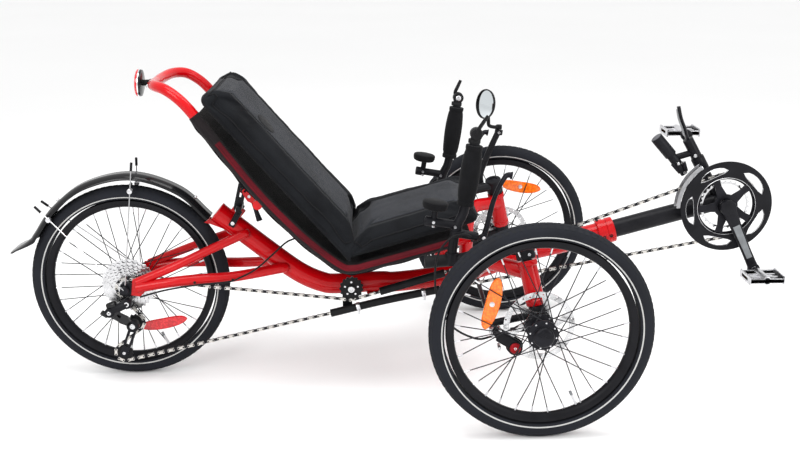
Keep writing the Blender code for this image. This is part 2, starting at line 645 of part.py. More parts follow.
def knuckle(side, carrier):
    """Kingpin, stub axle, steering arm and caliper lug."""
    name = side_name(side)
    pin = rod(kingpin_point(side, -0.20), kingpin_point(side, 1.40), KINGPIN_R, sides=16)
    shoulder = rod(kingpin_point(side, -0.30), kingpin_point(side, -0.010), 0.0190, sides=16)
    drop = rod(kingpin_point(side, -0.16), (0.001, side * 0.349, 0.2435), 0.0165, sides=12)
    axle_root = rod((0, side * 0.330, WHEEL_R), (0, side * 0.3600, WHEEL_R), 0.0160, sides=12)
    axle = rod((0, side * 0.345, WHEEL_R), (0, side * 0.4325, WHEEL_R), 0.0086, sides=12)
    arm = rod((-0.008, side * 0.334, 0.258), (-0.095, side * 0.310, 0.231), 0.0085, sides=8)
    lug = rod((-0.004, side * 0.347, 0.236), (-0.060, side * 0.3455, 0.226), 0.0070, sides=8)
    node(f"knuckle_{name}", join(shoulder, pin, drop, axle_root, axle, arm, lug), BLACK, carrier)


def handlebar(side, carrier):
    """Kingpin clamp, bar, wrist rest, brake lever housing, shifter pod, and the mirror arm on the left."""
    name = side_name(side)
    y = side * 0.25
    clamp = rod(kingpin_point(side, 1.03), kingpin_point(side, 1.42), 0.0215, sides=14)
    low = smooth([(-0.030, side * 0.297, 0.397), (-0.095, side * 0.270, 0.389), (-0.160, y, 0.364),
                  (-0.243, y, 0.357)], 2)
    base = tube(low, 0.0128, resolution=2)
    upright = tube([sided(point, side) for point in smooth(BAR_ROUTE, 3)], 0.0110, resolution=2)
    stub = rod((-0.172, y, 0.4425), (-0.243, y, 0.4545), 0.0095, sides=10)
    rest_neck = rod((-0.224, y, 0.452), (-0.219, y, 0.484), 0.0070, sides=8)
    rest = rod((-0.2205, y, 0.481), (-0.2175, y, 0.499), 0.0290, sides=16)
    lever_box = rod((-0.176, y, 0.424), (-0.124, y, 0.4145), 0.0100, sides=10)
    pod = rod((-0.130, y - 0.011, 0.6475), (-0.130, y + 0.011, 0.6475), 0.0140, sides=14)
    pieces = [clamp, base, upright, stub, rest_neck, rest, lever_box, pod]
    if side == LEFT:
        arm = smooth([(-0.095, 0.270, 0.390), (-0.060, 0.326, 0.384), (-0.060, 0.340, 0.420),
                      (-0.036, 0.352, 0.480), (-0.009, 0.360, 0.537)], 2)
        pieces.append(tube(arm, 0.0085, resolution=1))
    bore = rod(kingpin_point(side, 0.9), kingpin_point(side, 1.405), KINGPIN_R + GAP, sides=16)
    node(f"handlebar_{name}", cut(join(*pieces), bore), BLACK, carrier)
    foot, top = Vector((-0.1535, y, 0.486)), Vector((-0.1335, y, 0.624))
    grip = lathe([(0.0113, 0.068), (0.0185, 0.068), (0.0215, 0.045), (0.0232, 0.0), (0.0215, -0.040),
                  (0.0190, -0.068), (0.0113, -0.068)],
                 (foot + top) / 2, top - foot, steps=12)
    channel = tube([sided(point, side) for point in smooth([*BAR_ROUTE[:-1], (-0.118, 0.25, 0.72)], 3)],
                   0.0110 + GAP, resolution=2)
    pod_space = rod((-0.130, y - 0.03, 0.6475), (-0.130, y + 0.03, 0.6475), 0.0145, sides=14)
    node(f"grip_{name}", cut(grip, channel, pod_space), FOAM, carrier)


def bar_levers(side, carrier):
    name = side_name(side)
    y = side * 0.25
    flick = pivot(f"turn_shift_{name}", (-0.130, y, 0.6475), carrier)
    face = y + side * 0.0135
    hub = rod((-0.130, face - 0.0022, 0.6475), (-0.130, face + 0.0022, 0.6475), 0.0125, sides=12)
    blade = box((0.050, 0.0044, 0.011), (-0.1215, face, 0.6705), axes((0.34, 0, 0.94), (0, 1, 0)))
    node(f"shift_lever_{name}", join(hub, blade), PLASTIC, flick)
    squeeze = pivot(f"turn_brake_{name}", (-0.1115, y, 0.4125), carrier)
    route = smooth([(-0.1115, y, 0.4125), (-0.104, y, 0.438), (-0.092, y, 0.490), (-0.082, y, 0.520),
                    (-0.064, y, 0.551), (-0.050, y, 0.553)], 2)
    blade = tube(route, 0.0058, resolution=1)
    eye = rod((-0.1115, y - 0.008, 0.4125), (-0.1115, y + 0.008, 0.4125), 0.0085, sides=8)
    node(f"brake_lever_{name}", join(blade, eye), BLACK, squeeze)


def caliper(side, carrier):
    """Caliper body astride the rotor, with its round pad adjuster."""
    name = side_name(side)
    disc_y = HALF_TRACK - 0.0368
    body = box((0.044, 0.029, 0.052), (-0.074, side * (disc_y - 0.0052), 0.214), bevel=0.006)
    slot = box((0.07, 0.0040, 0.07), (-0.054, side * disc_y, 0.214))
    dial = rod((-0.070, side * 0.3755, 0.205), (-0.070, side * 0.366, 0.205), 0.0120, sides=12)
    lug_space = rod((-0.030, side * 0.3455, 0.2305), (-0.064, side * 0.3455, 0.2253), 0.0074, sides=8)
    node(f"brake_caliper_{name}", cut(join(body, dial), slot, lug_space), BLACK, carrier)
    y = side * 0.25
    hose = smooth([(-0.1010, side * 0.352, 0.216), (-0.135, side * 0.338, 0.206),
                   (-0.185, side * 0.315, 0.226), (-0.215, side * 0.290, 0.275),
                   (-0.222, side * 0.280, 0.330), (-0.215, side * 0.282, 0.385),
                   (-0.188, side * 0.280, 0.420), (-0.158, side * 0.270, 0.426),
                   (-0.140, y + side * 0.0135, 0.418)], 3)
    node(f"brake_cable_{name}", tube(hose, 0.0024, resolution=1), PLASTIC, carrier)


def tie_rod(carrier):
    turn = pivot("turn_tie_rod", (-0.095, 0.310, 0.2155), carrier)
    bar = rod((-0.095, -0.313, 0.2130), (-0.095, 0.313, 0.2130), 0.0060, sides=10)
    eyes = [rod((-0.095, side * 0.310, 0.2055), (-0.095, side * 0.310, 0.2200), 0.0085, sides=10)
            for side in (RIGHT, LEFT)]
    node("tie_rod", join(bar, *eyes), BLACK, turn)


def mirror(carrier):
    turn = pivot("turn_mirror", (-0.009, 0.360, 0.545), carrier)
    facing = Vector((-0.85, -0.50, 0.15)).normalized()
    centre = Vector((-0.047, 0.330, 0.616))
    disc = rod(centre - facing * 0.006, centre + facing * 0.006, 0.0405, sides=24)
    stem = tube(smooth([(-0.0085, 0.360, 0.5485), (-0.022, 0.350, 0.5490), (-0.038, 0.337, 0.556),
                        (-0.041, 0.331, 0.585), centre], 2), 0.0055, resolution=1)
    node("mirror", join(disc, stem), PLASTIC, turn)


def steering(root):
    for side in (RIGHT, LEFT):
        carrier = pivot(f"steer_{side_name(side)}", kingpin_point(side, 0), root)
        knuckle(side, carrier)
        handlebar(side, carrier)
        bar_levers(side, carrier)
        caliper(side, carrier)
        front_wheel(side, carrier)
        if side == LEFT:
            tie_rod(carrier)
            mirror(carrier)


# ---------------------------------------------------------------- seat

def seat(root):
    recline = pivot("recline_seat", SEAT_PIVOT, root)
    half = smooth(RAIL_ROUTE, 2)
    loop = half + [sided(point, -1) for point in reversed(half[:-1])]
    rails = tube(loop, RAIL_R, resolution=2)
    front_bar = rod((-0.187, -RAIL_Y, 0.3565), (-0.187, RAIL_Y, 0.3565), 0.0100, sides=10)
    rear_bar = rod((-0.6225, -RAIL_Y, 0.4700), (-0.6225, RAIL_Y, 0.4700), 0.0110, sides=10)
    ears = [box((0.028, 0.006, 0.036), (-0.190, side * 0.0110, 0.3440)) for side in (RIGHT, LEFT)]
    clevis = box((0.062, 0.0115, 0.024), (-0.651, 0, 0.4690), axes((-1, 0, -0.05), (0, 1, 0)))
    node("seat_frame", join(rails, front_bar, rear_bar, *ears, clevis), PAINT, recline)
    sling(recline)
    cushion("seat_back_cushion", BACK_UP, BACK_OUT, (-0.040, 0.508), (0.0215, 0.074), -1, recline)
    cushion("seat_base_cushion", BASE_FORWARD, BASE_UP, (-0.020, 0.340), (0.0175, 0.062), 1, recline)
    lens = rod((-0.895, 0, 0.7325), (-0.912, 0, 0.7335), 0.0330, sides=20)
    stem = rod((-0.8762, 0, 0.7335), (-0.900, 0, 0.7335), 0.0120, sides=10)
    node("rear_reflector", join(lens, stem), RED_LENS, recline)
    return recline


def sling(recline):
    """The stretched mesh between the rails, as one thin bent panel."""
    profile = smooth([(x, 0, z) for x, _, z in RAIL_ROUTE[:9]], 1)
    mesh = bpy.data.meshes.new("panel")
    half_width = RAIL_Y - RAIL_R - 0.0012
    points = []
    for place in profile:
        points.append((place.x, -half_width, place.z))
        points.append((place.x, half_width, place.z))
    faces = [(2 * k, 2 * k + 1, 2 * k + 3, 2 * k + 2) for k in range(len(profile) - 1)]
    mesh.from_pydata(points, [], faces)
    panel = raw(mesh)
    skin = panel.modifiers.new("thickness", "SOLIDIFY")
    skin.thickness = 0.003
    skin.offset = 0
    panel = baked(panel)
    node("seat_sling", panel, MESH, recline)


def cushion(name, along, out, span, depth, side_kept, recline):
    """A plain rounded block, mitred where the two cushions meet. span and depth are its reach along and
    out from the rails' bend; side_kept is 1 for the piece in front of the mitre and -1 for the one behind."""
    size = (span[1] - span[0], 2 * CUSHION_HALF_WIDTH, depth[1] - depth[0])
    centre = BACK_ORIGIN + along * sum(span) / 2 + out * sum(depth) / 2
    turn = Matrix((along, out.cross(along), out)).transposed()
    block = box(size, centre, turn, bevel=0.016, segments=2)
    reach = 0.15
    beyond = MITRE_POINT - side_kept * MITRE_FORWARD * (reach - 0.0008)
    waste = box((2 * reach, 0.5, 0.3), beyond, axes(MITRE_FORWARD, (0, 1, 0)))
    node(name, cut(block, waste), FABRIC, recline)


def recline_hardware(root, recline):
    """Twin plates astride the main tube and the seat's clevis, their bolts, and the release lever."""
    turn = axes(STRUT_TOP - STRUT_BOLT, (0, 1, 0))
    length = (STRUT_TOP - STRUT_BOLT).length + 0.012
    plates = [box((length, 0.0032, 0.020), (STRUT_BOLT + STRUT_TOP) / 2 + Vector((0, side * 0.0086, 0)), turn)
              for side in (RIGHT, LEFT)]
    bolt = rod(STRUT_BOLT - Vector((0, 0.008, 0)), STRUT_BOLT + Vector((0, 0.008, 0)), 0.0042, sides=8)
    node("recline_strut", join(plates[0], bolt, plates[1]), BLACK, root)
    spot = Vector((-0.668, 0, 0.472))
    flip = pivot("turn_quick_release", spot + Vector((0, -0.016, 0)), recline)
    head = rod(spot + Vector((0, -0.0106, 0)), spot + Vector((0, -0.0225, 0)), 0.0085, sides=12)
    route = [spot + Vector((0, -0.0185, 0)), (-0.6505, -0.0205, 0.4480), (-0.634, -0.0225, 0.3975)]
    blade = tube(smooth(route, 2), 0.0042, resolution=1)
    node("quick_release_lever", join(head, blade), BLACK, flip)


def build():
    root = pivot("frame", (0, 0, 0))
    main_tube(root)
    for side in (RIGHT, LEFT):
        cross_arm(side, root)
        rear_stays(side, root)
    rear_axle(root)
    fender(root)
    rear_wheel(root)
    cassette(root)
    derailleur(root)
    idler(root)
    chain_tubes(root)
    slide = boom(root)
    cranks(slide)
    chains(root, slide)
    steering(root)
    recline_hardware(root, seat(root))
    root.location.x = FRONT_AXLE_X
    bpy.context.view_layer.update()


build()
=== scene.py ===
"""Looks for the recumbent tricycle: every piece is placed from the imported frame's own sizes.

Lengths are metres. Points are written from the spot on the ground below the middle of the front axles,
+X forward, +Y to the rider's left, +Z up; at() moves them into the frame.
"""
import math

import bmesh
import bpy
from mathutils import Matrix, Vector, noise
from mathutils.bvhtree import BVHTree


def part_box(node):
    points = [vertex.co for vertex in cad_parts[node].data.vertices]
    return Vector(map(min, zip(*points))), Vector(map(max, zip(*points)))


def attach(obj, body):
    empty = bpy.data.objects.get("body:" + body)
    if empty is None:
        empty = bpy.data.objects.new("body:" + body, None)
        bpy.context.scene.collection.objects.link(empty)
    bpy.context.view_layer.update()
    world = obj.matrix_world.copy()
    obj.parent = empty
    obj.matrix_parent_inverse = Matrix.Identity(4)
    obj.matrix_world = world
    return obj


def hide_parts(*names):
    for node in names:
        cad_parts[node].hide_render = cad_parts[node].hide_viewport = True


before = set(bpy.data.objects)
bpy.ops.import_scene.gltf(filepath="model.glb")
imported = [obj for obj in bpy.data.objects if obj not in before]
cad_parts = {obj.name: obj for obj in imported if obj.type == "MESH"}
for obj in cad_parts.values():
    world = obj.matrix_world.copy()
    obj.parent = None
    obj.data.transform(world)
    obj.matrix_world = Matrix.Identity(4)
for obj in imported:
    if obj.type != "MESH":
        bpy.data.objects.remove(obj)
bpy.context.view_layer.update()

RIGHT, LEFT = -1, 1
NEAR_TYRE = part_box("tyre_front_right")
FRONT_X = (NEAR_TYRE[0].x + NEAR_TYRE[1].x) / 2
WHEEL_R = (NEAR_TYRE[1].z - NEAR_TYRE[0].z) / 2
REAR_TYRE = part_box("tyre_rear")
REAR_X = (REAR_TYRE[0].x + REAR_TYRE[1].x) / 2 - FRONT_X
HALF_TRACK = -(NEAR_TYRE[0].y + NEAR_TYRE[1].y) / 2
PITCH = 0.0127  # half an inch, from pin to pin
RIM_LINE = 0.223  # radius of the circle through the middle of a tyre
BB = Vector((0.4970, 0, 0.4222))
CRANK_LENGTH, CRANK_ANGLE = 0.165, math.radians(-65.5)
RING_Y, COG_Y, IDLER_Y = -0.0475, -0.0607, -0.0555
IDLER = Vector((-0.414, 0, 0.231))
PULLEYS = {"upper": Vector((-0.945, 0, 0.155)), "lower": Vector((-0.977, 0, 0.077))}


def at(point):
    return Vector((point[0] + FRONT_X, point[1], point[2]))


def sided(point, side):
    return Vector((point[0], side * point[1], point[2]))


def side_name(side):
    return "right" if side == RIGHT else "left"


# ---------------------------------------------------------------- materials

def ramp(nodes, links, source, stops):
    made = nodes.new("ShaderNodeValToRGB")
    made.color_ramp.elements[0].position, made.color_ramp.elements[0].color = stops[0][0], (*stops[0][1], 1)
    made.color_ramp.elements[1].position, made.color_ramp.elements[1].color = stops[-1][0], (*stops[-1][1], 1)
    for place, colour in stops[1:-1]:
        made.color_ramp.elements.new(place).color = (*colour, 1)
    links.new(source, made.inputs[0])
    return made.outputs[0]


def noise_node(nodes, links, scale, detail=3.0, stretch=None):
    where = nodes.new("ShaderNodeTexCoord").outputs["Object"]
    if stretch:
        scaled = nodes.new("ShaderNodeMapping")
        scaled.inputs["Scale"].default_value = stretch
        links.new(where, scaled.inputs["Vector"])
        where = scaled.outputs[0]
    made = nodes.new("ShaderNodeTexNoise")
    made.inputs["Scale"].default_value = scale
    made.inputs["Detail"].default_value = detail
    links.new(where, made.inputs["Vector"])
    return made.outputs["Fac"]


def surface(name, colour, rough, metal=0.0, vary=0.12, patch=30.0, grain=900.0, bump=0.03, coat=0.0,
            sheen=0.0, specular=0.12, stretch=None, depth=0.0004):
    """A finish with uneven colour and gloss and a fine grain."""
    made = bpy.data.materials.new(name)
    made.use_nodes = True
    nodes, links = made.node_tree.nodes, made.node_tree.links
    shader = nodes["Principled BSDF"]
    low = [c * (1 - vary) for c in colour]
    high = [min(1.0, c * (1 + vary)) for c in colour]
    patches = noise_node(nodes, links, patch)
    links.new(ramp(nodes, links, patches, [(0.3, low), (0.7, high)]), shader.inputs["Base Color"])
    dull, shine = min(1.0, rough * 1.18), rough * 0.85
    links.new(ramp(nodes, links, patches, [(0.3, (shine,) * 3), (0.7, (dull,) * 3)]),
              shader.inputs["Roughness"])
    shader.inputs["Metallic"].default_value = metal
    shader.inputs["Coat Weight"].default_value = coat
    shader.inputs["Coat Roughness"].default_value = 0.06
    shader.inputs["Specular IOR Level"].default_value = specular
    shader.inputs["Sheen Weight"].default_value = sheen
    shader.inputs["Sheen Roughness"].default_value = 0.45
    relief = nodes.new("ShaderNodeBump")
    relief.inputs["Strength"].default_value = bump
    relief.inputs["Distance"].default_value = depth
    links.new(noise_node(nodes, links, grain, 2.0, stretch), relief.inputs["Height"])
    links.new(relief.outputs[0], shader.inputs["Normal"])
    return made


def woven(name, dark, light, rough, threads, bump=0.5, sheen=0.2, patch=14.0):
    """Crossed threads by two wave patterns, with slow colour changes over the cloth."""
    made = bpy.data.materials.new(name)
    made.use_nodes = True
    nodes, links = made.node_tree.nodes, made.node_tree.links
    shader = nodes["Principled BSDF"]
    where = nodes.new("ShaderNodeTexCoord").outputs["Object"]
    heights = []
    for direction in ("X", "Y", "Z"):
        wave = nodes.new("ShaderNodeTexWave")
        wave.bands_direction = direction
        wave.inputs["Scale"].default_value = threads
        wave.inputs["Distortion"].default_value = 0.6
        links.new(where, wave.inputs["Vector"])
        heights.append(wave.outputs["Fac"])
    first = nodes.new("ShaderNodeMath")
    first.operation = "MULTIPLY"
    links.new(heights[1], first.inputs[0])
    blend = nodes.new("ShaderNodeMath")
    blend.operation = "MAXIMUM"
    links.new(heights[0], blend.inputs[0])
    links.new(heights[2], blend.inputs[1])
    links.new(blend.outputs[0], first.inputs[1])
    slow = noise_node(nodes, links, patch)
    mixed = nodes.new("ShaderNodeMath")
    mixed.operation = "MULTIPLY_ADD"
    links.new(first.outputs[0], mixed.inputs[0])
    mixed.inputs[1].default_value = 0.45
    links.new(slow, mixed.inputs[2])
    mid = [(a + b) / 2 for a, b in zip(dark, light)]
    links.new(ramp(nodes, links, mixed.outputs[0], [(0.35, dark), (0.6, mid), (0.95, light)]),
              shader.inputs["Base Color"])
    shader.inputs["Roughness"].default_value = rough
    shader.inputs["Specular IOR Level"].default_value = 0.10
    shader.inputs["Sheen Weight"].default_value = sheen
    shader.inputs["Sheen Roughness"].default_value = 0.4
    relief = nodes.new("ShaderNodeBump")
    relief.inputs["Strength"].default_value = bump
    relief.inputs["Distance"].default_value = 0.0004
    links.new(first.outputs[0], relief.inputs["Height"])
    links.new(relief.outputs[0], shader.inputs["Normal"])
    return made


RED = surface("red_paint", (0.46, 0.0015, 0.004), 0.24, vary=0.10, patch=9, grain=260, bump=0.02, coat=0.30)
BLACK = surface("satin_black", (0.008, 0.008, 0.010), 0.36, vary=0.3, patch=22, grain=800, bump=0.05)
GLOSS = surface("gloss_black", (0.008, 0.008, 0.009), 0.18, vary=0.3, patch=12, grain=300, bump=0.02,
                coat=0.3)
ALLOY = surface("black_alloy", (0.012, 0.012, 0.015), 0.30, metal=0.3, vary=0.3, patch=40, grain=600,
                bump=0.04)
RIM = surface("rim_black", (0.009, 0.009, 0.011), 0.42, metal=0.2, vary=0.25, patch=18, grain=900, bump=0.05)
PLASTIC = surface("black_plastic", (0.009, 0.009, 0.010), 0.5, vary=0.25, patch=45, grain=1400, bump=0.12)
HOSE = surface("hose", (0.010, 0.010, 0.011), 0.42, vary=0.2, patch=60, grain=1500, bump=0.08)
TYRE = surface("tyre_rubber", (0.012, 0.013, 0.017), 0.72, vary=0.22, patch=16, grain=700, bump=0.25,
               depth=0.0006)
TREAD = surface("tread_rubber", (0.015, 0.016, 0.019), 0.8, vary=0.22, patch=26, grain=500, bump=0.35,
                depth=0.0008)
FOAM = surface("grip_foam", (0.007, 0.007, 0.008), 0.92, vary=0.3, patch=50, grain=1100, bump=0.6,
               specular=0.08, sheen=0.05, depth=0.0007)
STEEL = surface("steel", (0.56, 0.56, 0.57), 0.24, metal=1.0, vary=0.14, patch=50, grain=1200, bump=0.06)
CHAIN = surface("chain_steel", (0.56, 0.54, 0.51), 0.34, metal=0.85, vary=0.25, patch=160, grain=1500,
                bump=0.1)
SILVER = surface("silver_alloy", (0.62, 0.62, 0.64), 0.30, metal=1.0, vary=0.12, patch=40, grain=900,
                 bump=0.05)
CHROME = surface("bright_plate", (0.75, 0.76, 0.78), 0.12, metal=1.0, vary=0.08, patch=40, grain=900,
                 bump=0.02)
SPOKE = surface("spoke_black", (0.022, 0.022, 0.025), 0.34, metal=0.4, vary=0.2, patch=60, grain=900,
                bump=0.03)
GREY = surface("grey_plate", (0.20, 0.21, 0.22), 0.34, metal=0.6, vary=0.15, patch=60, grain=1200, bump=0.1)
STRIP = surface("reflective_strip", (0.46, 0.46, 0.45), 0.45, metal=0.2, vary=0.1, patch=80, grain=1600,
                bump=0.1)
DIAL = surface("red_dial", (0.30, 0.01, 0.015), 0.3, metal=0.4, vary=0.15, patch=60, grain=900, bump=0.05)
CAPTOP = surface("grey_cap", (0.11, 0.11, 0.12), 0.6, vary=0.2, patch=60, grain=600, bump=0.5, depth=0.0008)
SIDES = woven("bolster_cloth", (0.0030, 0.0032, 0.004), (0.010, 0.011, 0.013), 0.86, 420, bump=0.25,
              sheen=0.04)
PANEL = woven("panel_cloth", (0.006, 0.0068, 0.009), (0.021, 0.023, 0.029), 0.80, 300, bump=0.4, sheen=0.09)
PIPING = surface("piping", (0.006, 0.006, 0.007), 0.6, vary=0.2, patch=80, grain=1200, bump=0.25)
NET = woven("mesh_cloth", (0.003, 0.003, 0.0035), (0.017, 0.013, 0.014), 0.7, 700, bump=0.6, sheen=0.05)
# red of the rail under the mesh, given to a narrow strip of the sleeves only: a painted highlight
NET_RED_HIGHLIGHT = woven("mesh_over_rail_painted_highlight", (0.012, 0.002, 0.004), (0.13, 0.003, 0.009), 0.45, 700, bump=0.3,
                sheen=0.05, patch=6.0)
CABLE_GREY = surface("cable_steel", (0.30, 0.30, 0.31), 0.35, metal=0.8, vary=0.15, patch=60, grain=900)


def lens_material(name, colour, deep):
    """A prismatic reflector: small cells seen through a clear coloured face."""
    made = surface(name, colour, 0.12, vary=0.1, patch=20, coat=1.0)
    nodes, links = made.node_tree.nodes, made.node_tree.links
    shader = nodes["Principled BSDF"]
    cells = nodes.new("ShaderNodeTexVoronoi")
    cells.inputs["Scale"].default_value = 190.0
    links.new(nodes.new("ShaderNodeTexCoord").outputs["Object"], cells.inputs["Vector"])
    links.new(ramp(nodes, links, cells.outputs["Distance"], [(0.0, colour), (0.9, deep)]),
              shader.inputs["Base Color"])
    relief = nodes.new("ShaderNodeBump")
    relief.inputs["Strength"].default_value = 0.35
    relief.inputs["Distance"].default_value = 0.001
    links.new(cells.outputs["Distance"], relief.inputs["Height"])
    links.new(relief.outputs[0], shader.inputs["Normal"])
    return made


AMBER = lens_material("amber_lens", (1.0, 0.23, 0.005), (0.75, 0.10, 0.0))
RED_LENS = lens_material("red_lens", (0.80, 0.012, 0.02), (0.38, 0.0, 0.004))
GLASS = surface("mirror_glass", (0.62, 0.66, 0.68), 0.05, metal=1.0, vary=0.03, patch=8, grain=200,
                bump=0.005)


# ---------------------------------------------------------------- mesh building

class Shape:
    """Points and faces being gathered for one piece, with a material to each face."""

    def __init__(self):
        self.points, self.faces, self.skins, self.mats = [], [], [], []

    def add(self, points, faces, skin):
        if skin not in self.mats:
            self.mats.append(skin)
        base = len(self.points)
        self.points += [tuple(p) for p in points]
        self.faces += [tuple(base + k for k in face) for face in faces]
        self.skins += [self.mats.index(skin)] * len(faces)
        return self

    def make(self, name, body, replaces=(), slot=None, crease=38, move=True):
        mesh = bpy.data.meshes.new(name)
        mesh.from_pydata([at(p) for p in self.points] if move else self.points, [], self.faces)
        for skin in self.mats:
            mesh.materials.append(skin)
        mesh.polygons.foreach_set("material_index", self.skins)
        work = bmesh.new()
        work.from_mesh(mesh)
        bmesh.ops.recalc_face_normals(work, faces=work.faces)
        work.to_mesh(mesh)
        work.free()
        mesh.polygons.foreach_set("use_smooth", [True] * len(mesh.polygons))
        mesh.set_sharp_from_angle(angle=math.radians(crease))
        made = bpy.data.objects.new(name, mesh)
        bpy.context.scene.collection.objects.link(made)
        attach(made, body)
        if replaces:
            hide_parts(*replaces)
        return made


def smooth(route, steps):
    """Points on a smooth curve through the route's own points, with so many steps to each stretch."""
    points = [Vector(point) for point in route]
    padded = [2 * points[0] - points[1], *points, 2 * points[-1] - points[-2]]
    curve = []
    for before, start, end, after in zip(padded, padded[1:], padded[2:], padded[3:]):
        for step in range(steps):
            t = step / steps
            curve.append(0.5 * (2 * start + (end - before) * t
                                + (2 * before - 5 * start + 4 * end - after) * t ** 2
                                + (3 * start - before - 3 * end + after) * t ** 3))
    return [*curve, points[-1]]


def frames(points):
    """A direction and two carried cross directions at each point of a line."""
    line = [Vector(p) for p in points]
    heads = [(b - a).normalized() for a, b in zip(line, line[1:])]
    heads = [heads[0]] + [(a + b).normalized() for a, b in zip(heads, heads[1:])] + [heads[-1]]
    across = heads[0].orthogonal().normalized()
    made = []
    for place, head in zip(line, heads):
        across = (across - across.dot(head) * head).normalized()
        made.append((place, head, across, head.cross(across)))
    return made


def sweep(shape, points, radius, skin, sides=20, caps=True, squeeze=1.0):
    """A round bar along the points; radius may be a list, one to a point."""
    radii = radius if isinstance(radius, (list, tuple)) else [radius] * len(points)
    rings = []
    for (place, _, first, second), r in zip(frames(points), radii):
        rings.append([place + first * r * math.cos(a) + second * r * squeeze * math.sin(a)
                      for a in (2 * math.pi * k / sides for k in range(sides))])
    return skin_rings(shape, rings, skin, caps)


def skin_rings(shape, rings, skin, caps=True, closed=False):
    sides = len(rings[0])
    faces = []
    count = len(rings)
    for row in range(count if closed else count - 1):
        there = (row + 1) % count
        for k in range(sides):
            nxt = (k + 1) % sides
            faces.append((row * sides + k, row * sides + nxt, there * sides + nxt, there * sides + k))
    if caps and not closed:
        faces.append(tuple(range(sides)))
        faces.append(tuple((count - 1) * sides + k for k in range(sides)))
    return shape.add([p for ring in rings for p in ring], faces, skin)


def rod(shape, start, end, radius, skin, sides=16, edge=0.0, end_radius=None):
    """A straight round bar, with its ends' edges rounded by edge."""
    start, end = Vector(start), Vector(end)
    last = radius if end_radius is None else end_radius
    head = (end - start).normalized()
    if not edge:
        return sweep(shape, [start, end], [radius, last], skin, sides)
    points = [start, start + head * edge * 0.3, start + head * edge, end - head * edge,
              end - head * edge * 0.3, end]
    radii = [radius - edge, radius - edge * 0.3, radius, last, last - edge * 0.3, last - edge]
    return sweep(shape, points, radii, skin, sides)


def lathe(shape, profile, centre, skin, axis=(0, 1, 0), steps=40, closed=False):
    """(radius, height) pairs turned about the axis. closed joins the last pair back to the first."""
    centre, axis = Vector(centre), Vector(axis).normalized()
    first = Vector((1, 0, 0)) if abs(axis.x) < 0.9 else Vector((0, 0, 1))
    first = (first - first.dot(axis) * axis).normalized()
    second = axis.cross(first)
    rings = []
    for k in range(steps):
        angle = 2 * math.pi * k / steps
        out = first * math.cos(angle) + second * math.sin(angle)
        rings.append([centre + axis * h + out * r for r, h in profile])
    count, wide = steps, len(profile)
    faces = []
    for row in range(count):
        there = (row + 1) % count
        for k in range(wide if closed else wide - 1):
            nxt = (k + 1) % wide
            faces.append((row * wide + k, row * wide + nxt, there * wide + nxt, there * wide + k))
    points = [p for ring in rings for p in ring]
    if not closed:
        for k, flip in ((0, 1), (wide - 1, -1)):
            if profile[k][0] > 1e-6:
                faces.append(tuple(row * wide + k for row in range(count)[::flip]))
    return shape.add(points, faces, skin)


def axes(first, second):
    """A turn whose X runs along first and whose Y leans to second."""
    x = Vector(first).normalized()
    z = x.cross(Vector(second)).normalized()
    return Matrix((x, z.cross(x), z)).transposed()


def box(shape, size, centre, skin, turn=None, bevel=0.0015, segments=2):
    work = bmesh.new()
    bmesh.ops.create_cube(work, size=1.0)
    bmesh.ops.scale(work, vec=Vector(size), verts=work.verts)
    if bevel:
        bmesh.ops.bevel(work, geom=list(work.edges), offset=min(bevel, min(size) * 0.45), segments=segments,
                        affect="EDGES", profile=0.5)
    turn = turn or Matrix.Identity(3)
    points = [Vector(centre) + turn @ v.co for v in work.verts]
    work.verts.index_update()
    faces = [[v.index for v in f.verts] for f in work.faces]
    work.free()
    return shape.add(points, faces, skin)


def cutout(shape, loops, thickness, centre, skin, turn, bevel=0.0004):
    """A flat plate in the turn's X-Y plane. The first loop is its edge and the others are its holes."""
    curve = bpy.data.curves.new("plate", "CURVE")
    curve.dimensions, curve.fill_mode = "2D", "BOTH"
    curve.extrude, curve.bevel_depth = thickness / 2 - bevel, bevel
    curve.bevel_resolution, curve.offset = 0, -bevel
    for loop in loops:
        spline = curve.splines.new("POLY")
        spline.points.add(len(loop) - 1)
        for place, (x, y) in zip(spline.points, loop):
            place.co = (x, y, 0, 1)
        spline.use_cyclic_u = True
    carrier = bpy.data.objects.new("plate", curve)
    bpy.context.scene.collection.objects.link(carrier)
    bpy.context.view_layer.update()
    mesh = bpy.data.meshes.new_from_object(carrier.evaluated_get(bpy.context.evaluated_depsgraph_get()))
    points = [Vector(centre) + turn @ v.co for v in mesh.vertices]
    faces = [list(f.vertices) for f in mesh.polygons]
    bpy.data.objects.remove(carrier)
    bpy.data.curves.remove(curve)
    bpy.data.meshes.remove(mesh)
    return shape.add(points, faces, skin)


def circle(radius, steps=24, centre=(0, 0), start=0.0):
    return [(centre[0] + radius * math.cos(start + 2 * math.pi * k / steps),
             centre[1] + radius * math.sin(start + 2 * math.pi * k / steps)) for k in range(steps)]


def gear(teeth, root, tip):
    """The outline of a sprocket: a rounded tooth for each pitch."""
    loop = []
    for k in range(teeth):
        for share, reach in ((0.0, root), (0.22, root), (0.40, tip * 0.6 + root * 0.4), (0.50, tip),
                             (0.60, tip), (0.74, tip * 0.6 + root * 0.4)):
            angle = 2 * math.pi * (k + share) / teeth
            loop.append((reach * math.cos(angle), reach * math.sin(angle)))
    return loop


FLAT = Matrix.Rotation(math.pi / 2, 3, "X")


def bolt(shape, centre, facing, radius, skin, height=0.003):
    """A socket-head screw: a turned head with a sunk round socket."""
    facing = Vector(facing).normalized()
    lathe(shape, [(radius * 0.98, 0), (radius, height * 0.7), (radius * 0.88, height),
                  (radius * 0.52, height), (radius * 0.5, height * 0.35), (0.0, height * 0.3)],
          Vector(centre), skin, facing, 18)


# ---------------------------------------------------------------- wheels

